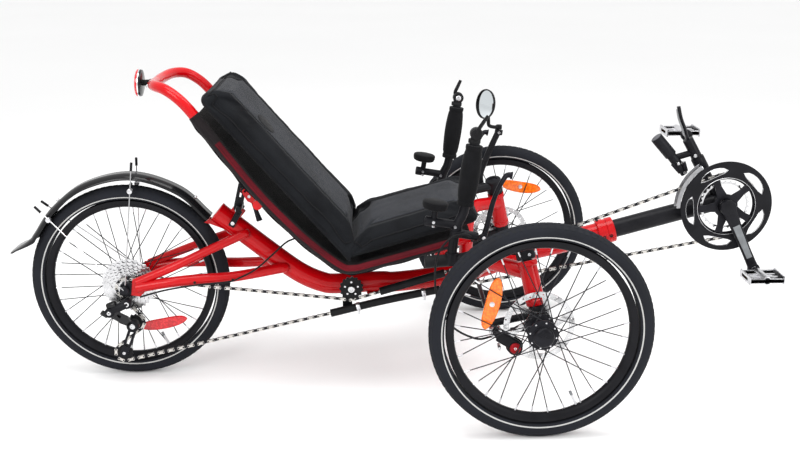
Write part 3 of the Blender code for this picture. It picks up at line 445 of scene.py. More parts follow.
def blocks(shape, centre, tube_r):
    """Low tread blocks in slanted rows round the crown."""
    count = 96
    for k in range(count):
        base = 2 * math.pi * k / count
        for row, (low, high, slant, reach) in enumerate(((-52, -29, 0.6, 0.60), (-25, -5, -0.35, 0.55),
                                                         (5, 25, 0.35, 0.55), (29, 52, -0.6, 0.60))):
            offset = 0.5 if row % 2 else 0.0
            corners = []
            for lift in (0.0, 0.00055):
                for share, edge in ((0, low), (1, low), (1, high), (0, high)):
                    lean = slant * (edge - (low + high) / 2) / 45
                    angle = base + 2 * math.pi / count * (offset + reach * share + lean * 0.5)
                    around = math.radians(edge)
                    r = RIM_LINE + (tube_r - 0.0003 + lift) * math.cos(around)
                    h = (tube_r - 0.0003 + lift) * math.sin(around)
                    corners.append(Vector(centre) + Vector((r * math.cos(angle), h, r * math.sin(angle))))
            shape.add(corners, [(4, 5, 6, 7), (0, 1, 5, 4), (1, 2, 6, 5), (2, 3, 7, 6), (3, 0, 4, 7)], TREAD)


def wheel(centre, hub, flanges, flange_r, spokes):
    """A boxed rim with a valve, laced spokes with silver nipples, and a turned hub."""
    shape = Shape()
    rim = [(0.2031, -0.0125), (0.2060, -0.0132), (0.2064, -0.0118), (0.2005, -0.0112), (0.1990, 0.0),
           (0.2005, 0.0112), (0.2064, 0.0118), (0.2060, 0.0132), (0.2031, 0.0125), (0.1965, 0.0115),
           (0.1905, 0.0070), (0.1885, 0.0030), (0.1885, -0.0030), (0.1905, -0.0070), (0.1965, -0.0115)]
    lathe(shape, rim, centre, RIM, steps=120, closed=True)
    lathe(shape, hub, centre, ALLOY, steps=40)
    for k in range(spokes):
        outer_side = k % 2
        lean = 1 if (k // 2) % 2 else -1
        rim_angle = 2 * math.pi * (k + 0.5) / spokes
        hub_angle = rim_angle + lean * math.radians(62)
        head = Vector((math.cos(rim_angle), 0, math.sin(rim_angle)))
        outer = centre + head * 0.1895
        inner = centre + Vector((math.cos(hub_angle), 0, math.sin(hub_angle))) * (flange_r - 0.003)
        inner.y += flanges[outer_side] + (0.0012 if lean > 0 else -0.0012)
        outer.y += 0.0015 * (1 if outer_side else -1)
        nipple = outer + (inner - outer).normalized() * 0.014
        rod(shape, inner, nipple, 0.00125, SPOKE, sides=6)
        rod(shape, nipple, outer + head * 0.002, 0.0019, SILVER, sides=6)
        rod(shape, inner + Vector((0, 0.0022, 0)), inner - Vector((0, 0.0022, 0)), 0.0020, SILVER, sides=6)
    valve = Vector((math.cos(math.radians(-65)), 0, math.sin(math.radians(-65))))
    rod(shape, centre + valve * 0.190, centre + valve * 0.160, 0.0030, SILVER, sides=8)
    rod(shape, centre + valve * 0.164, centre + valve * 0.154, 0.0034, GREY, sides=8, edge=0.0008)
    return shape


def front_hub(side):
    outward = [(0.0, 0.0410), (0.0140, 0.0408), (0.0190, 0.0395), (0.0215, 0.0370), (0.0225, 0.0330),
               (0.0225, 0.0290), (0.0205, 0.0260), (0.0300, 0.0225), (0.0335, 0.0215), (0.0335, 0.0185),
               (0.0300, 0.0175), (0.0190, 0.0150), (0.0170, 0.0080), (0.0165, -0.0150), (0.0190, -0.0230),
               (0.0300, -0.0255), (0.0315, -0.0265), (0.0315, -0.0290), (0.0300, -0.0300),
               (0.0200, -0.0330), (0.0200, -0.0355), (0.0, -0.0355)]
    return outward if side == LEFT else [(r, -h) for r, h in reversed(outward)]


def rotor(side):
    """A vented disc: five curved arms, an outer band with slots, and its bolts."""
    shape = Shape()
    name = side_name(side)
    centre = Vector((0, side * (HALF_TRACK - 0.0368), WHEEL_R))
    loops = [circle(0.078, 72)]
    for k in range(6):
        start = 2 * math.pi * k / 6
        inner = [(0.034, start + 0.16), (0.034, start + 0.86)]
        outer = [(0.0655, start + 1.26), (0.0655, start + 1.00), (0.0655, start + 0.74),
                 (0.0655, start + 0.46)]
        loops.append([(r * math.cos(a), r * math.sin(a)) for r, a in inner + outer])
    for k in range(30):
        angle = 2 * math.pi * k / 30
        reach = (0.0690, 0.0718, 0.0746)[k % 3]
        loops.append(circle(0.0018, 8, (reach * math.cos(angle), reach * math.sin(angle))))
    loops.append(circle(0.0165, 24))
    cutout(shape, loops, 0.0018, centre, STEEL, FLAT, 0.0002)
    for k in range(6):
        angle = 2 * math.pi * k / 6 + 0.05
        spot = centre + Vector((0.0235 * math.cos(angle), 0, 0.0235 * math.sin(angle)))
        bolt(shape, spot, (0, -side, 0), 0.0040, STEEL, 0.0022)
    shape.make(f"brake_rotor_{name}_disc", f"wheel_{name}", (f"brake_rotor_{name}",), "steel")


def reflector(name, body, centre, size, lean, skin, slot, clip=True):
    """A long lens with rounded ends, in a thin frame, held to the spokes by a clip."""
    shape = Shape()
    turn = Matrix.Rotation(math.radians(-lean), 3, "Y") @ FLAT
    long, tall, thick = size
    loop = []
    for hand, power, full in ((1, 5.0, 0.40), (-1, 2.2, 0.50)):
        for k in range(15):
            share = hand * math.cos(math.pi * (k + 0.5) / 15)
            loop.append((share * long * 0.54, hand * full * tall * (1 - abs(share) ** power) ** 0.6))
    cutout(shape, [loop], thick, centre, skin, turn, 0.0012)
    cutout(shape, [[(x * 1.02, y * 1.05) for x, y in loop]], thick * 0.35, centre, skin, turn, 0.0004)
    if clip:
        for side in (-1, 1):
            rod(shape, Vector(centre), Vector(centre) + Vector((0, side * (thick / 2 + 0.0012), 0)),
                0.0058, SILVER,
                edge=0.0008)
    shape.make(f"{name}_lens", body, (name,), slot)


def front_wheels():
    for side in (RIGHT, LEFT):
        name = side_name(side)
        centre = Vector((0, side * HALF_TRACK, WHEEL_R))
        made = Shape()
        tyre_piece(made, centre).make(f"tyre_front_{name}_carcass", f"wheel_{name}", (f"tyre_front_{name}",),
                                      "tyre_rubber", crease=30)
        shape = wheel(centre, front_hub(side), (side * 0.020, -side * 0.0275), 0.0315, 32)
        shape.make(f"wheel_front_{name}_laced", f"wheel_{name}", (f"wheel_front_{name}",), "black_alloy")
        rotor(side)
        where, lean, inset = ((-0.108, 0.066), 76, 0.0) if side == RIGHT else ((0.059, 0.125), -10, -0.0015)
        spot = centre + Vector((where[0], inset, where[1]))
        reflector(f"spoke_reflector_{name}", f"wheel_{name}", spot, (0.108, 0.034, 0.0075), lean, AMBER,
                  "amber_lens")


def tyre_piece(shape, centre):
    tube_r = WHEEL_R - 0.223
    count = 30
    ribs = []
    for k in range(count):
        angle = math.radians(-128) + math.radians(256) * k / (count - 1)
        ribs.append((RIM_LINE + (tube_r - 0.0003) * math.cos(angle), (tube_r - 0.0003) * math.sin(angle)))
    lathe(shape, ribs, centre, TYRE, steps=180, closed=True)
    for side in (RIGHT, LEFT):
        band = [(RIM_LINE + (tube_r + 0.0001) * math.cos(math.radians(a)),
                 side * (tube_r + 0.0001) * math.sin(math.radians(a))) for a in (106, 110, 114)]
        lathe_open(shape, band, centre, STRIP)
    blocks(shape, centre, tube_r)
    return shape


def lathe_open(shape, profile, centre, skin, steps=160):
    """A turned strip with no end faces."""
    points, faces, wide = [], [], len(profile)
    for k in range(steps):
        angle = 2 * math.pi * k / steps
        points += [Vector(centre) + Vector((r * math.cos(angle), h, r * math.sin(angle))) for r, h in profile]
    for row in range(steps):
        there = (row + 1) % steps
        for k in range(wide - 1):
            faces.append((row * wide + k, row * wide + k + 1, there * wide + k + 1, there * wide + k))
    return shape.add(points, faces, skin)


def rear_wheel():
    centre = Vector((REAR_X, 0, WHEEL_R))
    tyre_piece(Shape(), centre).make("tyre_rear_carcass", "rear_wheel", ("tyre_rear",), "tyre_rubber",
                                     crease=30)
    hub = [(0.0060, 0.0600), (0.0105, 0.0598), (0.0140, 0.0575), (0.0140, 0.0420), (0.0200, 0.0390),
           (0.0300, 0.0372), (0.0310, 0.0360), (0.0310, 0.0335), (0.0300, 0.0325), (0.0180, 0.0300),
           (0.0160, 0.0240), (0.0160, -0.0150), (0.0190, -0.0190), (0.0300, -0.0205), (0.0312, -0.0215),
           (0.0312, -0.0240), (0.0300, -0.0250), (0.0140, -0.0285), (0.0060, -0.0285)]
    wheel(centre, hub, (0.035, -0.0227), 0.0298, 36).make("wheel_rear_laced", "rear_wheel", ("wheel_rear",),
                                                         "black_alloy")
    reflector("spoke_reflector_rear", "rear_wheel", centre + Vector((0.074, -0.0172, -0.1085)),
              (0.110, 0.030, 0.0070), 10, RED_LENS, "red_lens", clip=False)


# ---------------------------------------------------------------- frame

MAIN_ROUTE = [(-0.7385, 0, 0.416), (-0.622, 0, 0.318), (-0.545, 0, 0.258), (-0.486, 0, 0.2295),
              (-0.445, 0, 0.225), (-0.345, 0, 0.229), (-0.30, 0, 0.2275), (-0.176, 0, 0.2415),
              (-0.08, 0, 0.264), (0.0, 0, 0.297)]


def boom_point(x):
    return Vector((x, 0, BB.z + 0.26 * (x - BB.x)))


def weld(shape, centre, facing, radius, bead=0.0022):
    """A ring of weld where one tube meets another."""
    lathe(shape, [(radius - 0.001, -bead), (radius + bead * 0.7, -bead * 0.6), (radius + bead, 0),
                  (radius + bead * 0.7, bead * 0.6), (radius - 0.001, bead)], centre, RED, facing, 28,
          closed=True)


def main_frame():
    shape = Shape()
    route = [*smooth(MAIN_ROUTE, 6), boom_point(0.10), boom_point(0.17), boom_point(0.222)]
    sweep(shape, route, 0.0255, RED, 36)
    heading = (boom_point(0.25) - boom_point(0.21)).normalized()
    collar = [(0.0262, -0.0205), (0.0300, -0.0205), (0.0315, -0.0190), (0.0318, -0.0040), (0.0302, -0.0030),
              (0.0302, 0.0030), (0.0318, 0.0040), (0.0315, 0.0190), (0.0300, 0.0205), (0.0222, 0.0205)]
    lathe(shape, collar, boom_point(0.2175), RED, heading, 40)
    for x in (0.210, 0.226):
        bolt(shape, boom_point(x) + Vector((0, -0.0300, -0.006)), (0, -1, 0), 0.0042, BLACK, 0.0030)
    box(shape, (0.006, 0.012, 0.010), boom_point(0.196) + Vector((0, 0, 0.0290)), PLASTIC,
        axes(heading, (0, 1, 0)))
    rod(shape, (IDLER.x, -0.015, IDLER.z), (IDLER.x, -0.0660, IDLER.z), 0.0058, STEEL)
    box(shape, (0.024, 0.004, 0.062), (-0.425, -0.0405, 0.207), BLACK, bevel=0.0015)
    box(shape, (0.020, 0.030, 0.006), (-0.425, -0.0285, 0.232), RED)
    box(shape, (0.030, 0.012, 0.072), (-0.192, 0, 0.294), RED, bevel=0.003)
    box(shape, (0.030, 0.012, 0.040), (-0.693, 0, 0.411), RED, axes((-0.77, 0, 0.64), (0, 1, 0)), 0.002)
    tail = Vector(MAIN_ROUTE[0])
    back = (tail - Vector(MAIN_ROUTE[1])).normalized()
    gusset = [(-0.036, 0.0235), (0.004, 0.0235), (0.0085, 0.0400), (-0.006, 0.0330)]
    for y in (-0.0085, 0.0085):
        cutout(shape, [gusset], 0.004, tail + Vector((0, y, 0)), RED, axes(back, (-back.z, 0, back.x)))
    rod(shape, tail - back * 0.006, tail + back * 0.0010, 0.0262, RED, sides=36, edge=0.0012)
    box(shape, (0.030, 0.040, 0.004), (-0.362, 0, 0.2045), RED, bevel=0.0015)
    shape.make("main_tube_welded", "frame", ("main_tube",), "red_paint")


def kingpin_point(side, share):
    return sided(Vector((-0.002, 0.33, 0.28)).lerp(Vector((-0.022, 0.306, 0.375)), share), side)


def cross_arm(side):
    shape = Shape()
    route = smooth([(-0.128, 0.012, 0.2545), (-0.125, 0.055, 0.2615), (-0.118, 0.120, 0.290),
                    (-0.106, 0.195, 0.330), (-0.082, 0.252, 0.351), (-0.018, 0.305, 0.347)], 8)
    line = [sided(point, side) for point in route]
    sweep(shape, line, 0.0175, RED, 28)
    weld(shape, line[3], line[4] - line[3], 0.0172)
    low, high = kingpin_point(side, 0), kingpin_point(side, 1)
    up = (high - low).normalized()
    span = (high - low).length
    head = [(0.0128, 0.0), (0.0212, 0.0), (0.0222, 0.0015), (0.0222, 0.0110), (0.0205, 0.0130),
            (0.0200, span - 0.013), (0.0222, span - 0.011), (0.0222, span - 0.0015), (0.0212, span),
            (0.0128, span)]
    lathe(shape, head, low, RED, up, 40, closed=True)
    shape.make(f"cross_arm_{side_name(side)}_welded", "frame", (f"cross_arm_{side_name(side)}",), "red_paint")


def rear_stays(side):
    shape = Shape()
    high = smooth([(-0.668, 0.024, 0.3670), (-0.677, 0.031, 0.3640), (-0.7554, 0.053, 0.334),
                   (-0.845, 0.071, 0.297), (-0.93, 0.0765, 0.263)], 8)
    low = smooth([(-0.574, 0.020, 0.2770), (-0.592, 0.032, 0.277), (-0.70, 0.057, 0.2665),
                  (-0.79, 0.071, 0.2655), (-0.86, 0.0794, 0.261), (-0.93, 0.0794, 0.250)], 8)
    line = [sided(point, side) for point in high]
    sweep(shape, line, 0.0108, RED, 24)
    line = [sided(point, side) for point in low]
    sweep(shape, line, 0.0128, RED, 24, squeeze=0.98)
    loop = [(-0.002, -0.0190), (0.020, -0.0225), (0.033, -0.010), (0.034, 0.014), (0.024, 0.0235),
            (0.004, 0.0215)]
    cutout(shape, [loop], 0.0085, (-0.945, side * 0.0712, 0.248), RED, FLAT, 0.0012)
    loops = [[(-0.030, -0.0180), (-0.012, -0.0235), (0.006, -0.0190), (0.008, 0.0100), (-0.006, 0.0120),
              (-0.026, 0.0085)], circle(0.0060, 20, (-0.015, -0.0045))]
    cutout(shape, loops, 0.0070, (-0.945, side * 0.0712, 0.248), ALLOY, FLAT, 0.0010)
    bolt(shape, (-0.925, side * 0.0757, 0.262), (0, side, 0), 0.0036, STEEL, 0.002)
    if side == RIGHT:
        for spot in ((-0.79, -0.0835, 0.262), (-0.70, -0.0702, 0.2625)):
            rod(shape, (spot[0] - 0.003, spot[1], spot[2]), (spot[0] + 0.003, spot[1], spot[2]), 0.0030,
                PLASTIC,
                edge=0.0006)
    shape.make(f"rear_stays_{side_name(side)}_welded", "frame", (f"rear_stays_{side_name(side)}",),
               "red_paint")


def rear_axle():
    shape = Shape()
    centre = Vector((REAR_X, 0, WHEEL_R))
    rod(shape, centre + Vector((0, -0.0845, 0)), centre + Vector((0, 0.0845, 0)), 0.0046, STEEL)
    for side in (RIGHT, LEFT):
        lathe(shape, [(0.0048, 0), (0.0105, 0), (0.0112, 0.0020), (0.0105, 0.0075), (0.0085, 0.0088),
                      (0.0, 0.0095)],
              centre + Vector((0, side * 0.0792, 0)), ALLOY, (0, side, 0), 28)
    shape.make("rear_axle_skewer", "frame", ("rear_axle",), "steel")


def fender():
    """The rear mudguard's rolled blade, its tail flap, its clips and its wires."""
    rings = [(38.5, 0.2665), (60, 0.272), (85, 0.275), (110, 0.2685), (132, 0.2605), (150, 0.2580),
             (155, 0.263), (162.2, 0.2915)]
    route = smooth([(r * math.cos(math.radians(a)), 0, r * math.sin(math.radians(a))) for a, r in rings], 14)
    section = [(-0.0295, -0.0125), (-0.0285, -0.0095), (-0.0245, -0.0048), (-0.0160, -0.0014),
               (-0.0120, 0.0002),
               (-0.0070, -0.0003), (0.0, 0.0), (0.0070, -0.0003), (0.0120, 0.0002), (0.0160, -0.0014),
               (0.0245, -0.0048), (0.0285, -0.0095), (0.0295, -0.0125)]
    rings = []
    for place in route:
        outward = place.normalized()
        tail = min(max((place.length - 0.262) / 0.02, 0.0), 1.0) if place.x < -0.2 else 0.0
        outer = [place + outward * d * (1 - 0.8 * tail) + Vector((REAR_X, y * (1 + 0.55 * tail), WHEEL_R))
                 for y, d in section]
        inner = [p - outward * (0.0014 + 0.0026 * tail) for p in outer[::-1]]
        rings.append(outer + inner)
    shape = skin_rings(Shape(), rings, GLOSS)
    for angle, r in ((51, 0.2705), (128, 0.2625)):
        spot = Vector((REAR_X + r * math.cos(math.radians(angle)), 0, WHEEL_R
                       + r * math.sin(math.radians(angle))))
        out = Vector((math.cos(math.radians(angle)), 0, math.sin(math.radians(angle))))
        rod(shape, spot - out * 0.004, spot + out * 0.004, 0.0045, STEEL, edge=0.001)
    shape.make("rear_fender_blade", "frame", ("rear_fender",), "gloss_black", crease=50)
    wires = Shape()
    for side in (RIGHT, LEFT):
        for top, foot, clip_share in (((-0.9330, side * 0.0315, 0.5290),
                                       (-0.9560, side * 0.0880, 0.2600), 0.82),
                                      ((-1.1580, side * 0.0310, 0.4300),
                                       (-0.9600, side * 0.0905, 0.2475), 0.90)):
            top, foot = Vector(top), Vector(foot)
            up = (top - foot).normalized()
            sweep(wires, [foot, foot.lerp(top, 0.5), top], 0.0015, STEEL, 8)
            rod(wires, top - up * 0.002, top + up * 0.019, 0.0032, PLASTIC, edge=0.0008)
            clip = foot.lerp(top, clip_share)
            rod(wires, clip - Vector((0, 0.006, 0)), clip + Vector((0, 0.006, 0)), 0.0066, SILVER,
                edge=0.0018)
            rod(wires, clip.lerp(top, 0.3), clip.lerp(top, 0.3) - Vector((0, side * 0.012, 0)), 0.0035,
                PLASTIC)
    wires.make("fender_stays_wires", "frame", ("fender_stays",), "steel")


# ---------------------------------------------------------------- drive train

def pitch_radius(teeth):
    return teeth * PITCH / (2 * math.pi)


def belt(start, wheels, end):
    """A path in the X-Z plane from start round each wheel to end; a wheel is (centre, radius, turn)."""
    stops = [(start, 0.0), *[(centre, radius * turn) for centre, radius, turn in wheels], (end, 0.0)]
    headings = []
    for (here, r_here), (there, r_there) in zip(stops, stops[1:]):
        gap = there - here
        headings.append(math.atan2(gap.z, gap.x) + math.asin((r_here - r_there) / math.hypot(gap.x, gap.z)))
    path = [start.copy()]
    for (centre, radius, turn), arrive, leave in zip(wheels, headings, headings[1:]):
        wrap = ((leave - arrive) * turn) % (2 * math.pi)
        steps = max(2, math.ceil(wrap * radius / 0.004))
        for step in range(steps + 1):
            angle = arrive + turn * (wrap * step / steps - math.pi / 2)
            path.append(centre + radius * Vector((math.cos(angle), 0, math.sin(angle))))
    return [*path, end.copy()]


def set_y(path, far_x, far_y, near_x, near_y):
    for point in path:
        share = (point.x - far_x) / (near_x - far_x)
        point.y = far_y + (near_y - far_y) * min(max(share, 0), 1)
    return path


def chain(path):
    """Roller chain: inner and outer plates in turn on pins a half inch apart; the inner plates and the pins
    are dark alloy, painted shade between the outer plates.
    """
    shape = Shape()
    spots, travelled, target = [path[0]], 0.0, PITCH
    for a, b in zip(path, path[1:]):
        step = (b - a).length
        while travelled + step >= target:
            spots.append(a.lerp(b, (target - travelled) / step))
            target += PITCH
        travelled += step
    outline = []
    for k in range(5):
        a = math.radians(-70 + 35 * k)
        outline.append((PITCH / 2 + 0.0024 * math.cos(a), 0.0040 * math.sin(a)))
    outline += [(0.0, 0.0029)] + [(-x, z) for x, z in outline[::-1]] + [(0.0, -0.0029)]
    count = len(outline)
    for k, (a, b) in enumerate(zip(spots, spots[1:])):
        along = (b - a).normalized()
        side = Vector((0, 1, 0))
        up = side.cross(along).normalized()
        middle = (a + b) / 2
        near, far, high = (0.0019, 0.0026, 0.95) if k % 2 else (0.0027, 0.0034, 1.04)
        for hand in (-1, 1):
            points = [middle + along * x + up * z * high + side * hand * y for y in (near, far)
                      for x, z in outline]
            faces = [tuple(range(count, 2 * count))]
            faces += [(j, (j + 1) % count, count + (j + 1) % count, count + j) for j in range(count)]
            faces.append(tuple(range(count)))
            # inner plates take the dark alloy as painted shade between the outer plates
            shape.add(points, faces, ALLOY if k % 2 else CHAIN)
        # pins are dark alloy as painted shade at the plates' ends
        rod(shape, a - side * 0.0038, a + side * 0.0038, 0.0020, ALLOY, sides=8)
        rod(shape, a - side * 0.0018, a + side * 0.0018, 0.0036, ALLOY, sides=8)
    return shape


UPPER_TUBE = [(-0.344, -0.0545, 0.2205), (-0.265, -0.0535, 0.2425), (-0.185, -0.0525, 0.265)]
LOWER_TUBE = [(-0.466, -0.0555, 0.1665), (-0.33, -0.054, 0.1975), (-0.197, -0.0525, 0.2225)]


def chains():
    rear = [(IDLER, pitch_radius(15), -1), (Vector((REAR_X, 0, WHEEL_R)), pitch_radius(12), 1),
            (PULLEYS["upper"], pitch_radius(11), -1), (PULLEYS["lower"], pitch_radius(11), 1)]
    start, end = Vector(UPPER_TUBE[0]), Vector(LOWER_TUBE[0])
    start += (Vector(UPPER_TUBE[1]) - start).normalized() * 0.012
    end += (Vector(LOWER_TUBE[1]) - end).normalized() * 0.012
    path = set_y(belt(start, rear, end), -0.92, COG_Y, -0.46, IDLER_Y)
    chain(path).make("chain_rear_links", "frame", ("chain_rear",), "steel")
    start, end = Vector(LOWER_TUBE[2]), Vector(UPPER_TUBE[2])
    start -= (start - Vector(LOWER_TUBE[1])).normalized() * 0.030
    end -= (end - Vector(UPPER_TUBE[1])).normalized() * 0.030
    path = set_y(belt(start, [(BB, pitch_radius(39), 1)], end), -0.22, -0.0530, 0.36, RING_Y)
    chain(path).make("chain_front_links", "boom", ("chain_front",), "steel")


def chain_tubes():
    for name, route, straps in (("chain_tube_upper", UPPER_TUBE, ()),
                                ("chain_tube_lower", LOWER_TUBE, (0.30, 0.90))):
        shape = Shape()
        line = smooth(route, 10)
        rings = []
        for place, head, first, second in frames(line):
            outer = [place + (first * math.cos(a) + second * math.sin(a)) * 0.0097
                     for a in (2 * math.pi * k / 24 for k in range(24))]
            rings.append(outer)
        skin_rings(shape, rings, PLASTIC, caps=False)
        inner = [[place.lerp(p, 0.80) for p in ring] for ring, place in zip(rings, line)]
        skin_rings(shape, inner, PLASTIC, caps=False)
        for row in (0, -1):
            skin_rings(shape, [inner[row], rings[row]], PLASTIC, caps=False)
        for share in straps:
            k = int(share * (len(line) - 2))
            place, head = line[k], (line[k + 1] - line[k]).normalized()
            lathe(shape, [(0.0090, -0.0045), (0.0108, -0.0045), (0.0112, -0.0035), (0.0112, 0.0035),
                          (0.0108, 0.0045), (0.0090, 0.0045)], place, SILVER, head, 24, closed=True)
            box(shape, (0.006, 0.008, 0.012), place + Vector((0.001, -0.0095, -0.010)), SILVER, bevel=0.001)
        shape.make(f"{name}_pipe", "frame", (name,), "black_plastic")


def cassette():
    shape = Shape()
    centre = Vector((REAR_X, 0, WHEEL_R))
    cogs = ((34, -0.0325), (30, -0.0367), (26, -0.0409), (23, -0.0450), (20, -0.0490), (17, -0.0525),
            (14, -0.0556), (12, COG_Y))
    for teeth, y in cogs:
        reach = pitch_radius(teeth)
        loops = [gear(teeth, reach - 0.0042, reach - 0.0006)]
        if teeth > 20:
            count = 6
            for k in range(count):
                a = 2 * math.pi * k / count + teeth
                mid = (reach + 0.0215) / 2 - 0.001
                loops.append(circle(min(0.009, (reach - 0.028) / 2.6), 12,
                                    (mid * math.cos(a), mid * math.sin(a))))
        if teeth == 34:
            loops[0] = [(x * 0.985, z * 0.985) for x, z in loops[0]]
        cutout(shape, [*loops, circle(0.0115, 24)], 0.0018, centre + Vector((0, y, 0)), STEEL, FLAT, 0.0003)
    lathe(shape, [(0.0062, -0.0290), (0.0190, -0.0290), (0.0190, -0.0600), (0.0062, -0.0600)], centre, STEEL,
          steps=32, closed=True)
    lathe(shape, [(0.0062, -0.0600), (0.0155, -0.0600), (0.0160, -0.0625), (0.0145, -0.0640),
                  (0.0062, -0.0640)],
          centre, ALLOY, steps=32, closed=True)
    shape.make("cassette_cogs", "cassette", ("cassette",), "steel")


def pulley_wheel(shape, centre, y, teeth, half_width, bore, skin):
    reach = pitch_radius(teeth)
    spot = Vector((centre.x, y, centre.z))
    loops = [gear(teeth, reach - 0.0042, reach - 0.0008), circle(bore, 20)]
    cutout(shape, loops, half_width * 2, spot, skin, FLAT, 0.0004)
    lathe(shape, [(bore, half_width + 0.0006), (bore + 0.003, half_width + 0.0006),
                  (bore + 0.0035, half_width)],
          spot, STEEL, steps=20)


def rear_derailleur():
    shape = Shape()
    hanger = Vector((-0.955, -0.0880, 0.213))
    rod(shape, hanger + Vector((0, 0.0120, 0)), hanger - Vector((0, 0.0085, 0)), 0.0118, BLACK, 24,
        edge=0.002)
    bolt(shape, hanger - Vector((0, 0.0075, 0)), (0, -1, 0), 0.0062, STEEL, 0.002)
    rod(shape, hanger, (-1.000, -0.0880, 0.192), 0.0105, BLACK, 20, edge=0.003)
    rod(shape, (-0.998, -0.0780, 0.192), (-0.998, -0.0990, 0.192), 0.0118, BLACK, 24, edge=0.002)
    bolt(shape, (-0.998, -0.0985, 0.192), (0, -1, 0), 0.0050, STEEL, 0.0015)
    for shift, thick in ((0.008, 0.006), (-0.008, 0.006)):
        start, end = Vector((-0.998, -0.0880, 0.192 + shift)), Vector((-0.949, -0.0830, 0.160 + shift))
        box(shape, ((end - start).length, 0.012, thick), (start + end) / 2, BLACK,
            axes(end - start, (0, 1, 0)), 0.002)
    plate = [(-0.030, 0.006), (-0.022, 0.0150), (-0.004, 0.0125), (0.014, 0.0140), (0.029, 0.004),
             (0.026, -0.009),
             (0.006, -0.0125), (-0.020, -0.0080)]
    cutout(shape, [plate, circle(0.0042, 14, (-0.006, 0.002))], 0.0050, (-0.972, -0.0935, 0.178), GLOSS,
           axes((0.84, 0, -0.54), (0.54, 0, 0.84)), 0.0018)
    rod(shape, (-1.004, -0.0860, 0.204), (-0.982, -0.0860, 0.213), 0.0090, GLOSS, 20, edge=0.003)
    rod(shape, (-0.992, -0.0800, 0.180), (-0.975, -0.0800, 0.169), 0.0080, GLOSS, 20, edge=0.003)
    box(shape, (0.020, 0.010, 0.012), (-1.012, -0.0850, 0.186), GLOSS, axes((0.8, 0, -0.6), (0, 1, 0)), 0.003)
    knuckle = Vector((-0.9450, -0.0880, 0.1560))
    rod(shape, knuckle + Vector((0, 0.012, 0)), knuckle - Vector((0, 0.008, 0)), 0.0150, BLACK, 24,
        edge=0.002)
    bolt(shape, knuckle - Vector((0, 0.0075, 0)), (0, -1, 0), 0.0065, STEEL, 0.0018)
    low, high = PULLEYS["lower"], PULLEYS["upper"]
    middle = (low + high) / 2
    down = (low - high).normalized()
    across = Vector((down.z, 0, -down.x))
    half = (low - high).length / 2
    loop = []
    for end, spread in ((1, 0.0085), (-1, 0.0105)):
        for k in range(7):
            a = -math.pi / 2 + math.pi * k / 6
            loop.append((end * half + end * spread * math.cos(a), end * spread * math.sin(a)))
    window = [(-0.022, -0.0042), (0.024, -0.0035), (0.024, 0.0035), (-0.022, 0.0042)]
    turn = axes(down, across)
    for y in (COG_Y - 0.0085, COG_Y + 0.0085):
        cutout(shape, [loop, window], 0.0022, (middle.x, y, middle.z), ALLOY, turn, 0.0003)
    for spot in (low, high):
        rod(shape, (spot.x, COG_Y - 0.0095, spot.z), (spot.x, COG_Y + 0.0095, spot.z), 0.0034, STEEL)
        bolt(shape, (spot.x, COG_Y - 0.0095, spot.z), (0, -1, 0), 0.0040, STEEL, 0.0015)
    shape.make("rear_derailleur_linkage", "frame", ("rear_derailleur",), "black_alloy")
    for name, spot in PULLEYS.items():
        jockey = Shape()
        pulley_wheel(jockey, spot, COG_Y, 11, 0.0025, 0.0040, PLASTIC)
        jockey.make(f"derailleur_pulley_{name}_wheel", f"pulley_{name}", (f"derailleur_pulley_{name}",),
                    "black_plastic")


def idler():
    shape = Shape()
    pulley_wheel(shape, IDLER, IDLER_Y, 15, 0.0045, 0.0066, PLASTIC)
    for k in range(5):
        a = 2 * math.pi * k / 5 + 0.3
        bolt(shape, (IDLER.x + 0.0165 * math.cos(a), IDLER_Y - 0.0045, IDLER.z + 0.0165 * math.sin(a)),
             (0, -1, 0),
             0.0026, STEEL, 0.001)
    shape.make("idler_pulley_wheel", "idler", ("idler_pulley",), "black_plastic")
    cap = Shape()
    face = Vector((IDLER.x, -0.0655, IDLER.z))
    bolt(cap, face, (0, -1, 0), 0.0085, STEEL, 0.0035)
    cap.make("idler_bolt", "frame")


def boom_piece():
    """The boom, its bottom-bracket shell, the derailleur post and what the post carries."""
    shape = Shape()
    axis = (BB - boom_point(0.135)).normalized()
    sweep(shape, [boom_point(0.135), boom_point(0.30), BB - axis * 0.010], 0.0222, BLACK, 36)
    lathe(shape, [(0.0128, -0.034), (0.0200, -0.034), (0.0215, -0.0325), (0.0215, 0.0325), (0.0200, 0.034),
                  (0.0128, 0.034)], BB, BLACK, steps=40, closed=True)
    lathe(shape, [(0.0128, -0.0352), (0.0195, -0.0352), (0.0205, -0.0340), (0.0128, -0.0340)], BB, ALLOY,
          steps=32, closed=True)
    top = Vector((0.4085, 0, 0.578))
    up = (top - BB).normalized()
    rod(shape, BB + up * 0.018, top, 0.0130, BLACK, 28, edge=0.0015)
    cap, foot = Vector((0.331, 0, 0.584)), Vector((0.370, 0, 0.539))
    out = (cap - foot).normalized()
    rod(shape, cap - out * 0.0008, foot, 0.0148, BLACK, 32, edge=0.0012)
    rod(shape, cap - out * 0.003, cap, 0.0132, CAPTOP, 32, edge=0.0008)
    rod(shape, foot.lerp(cap, 0.15), (0.388, -0.006, 0.516), 0.0118, BLACK, 24, edge=0.002)
    rod(shape, BB.lerp(top, 0.52), BB.lerp(top, 0.71), 0.0162, BLACK, 28, edge=0.0018)
    rod(shape, (0.382, 0, 0.533), (0.424, 0, 0.545), 0.0080, BLACK, 20, edge=0.0015)
    front_mech(shape)
    post_blade(shape, top)
    shape.make("boom_assembly", "boom", ("boom",), "black_metal")


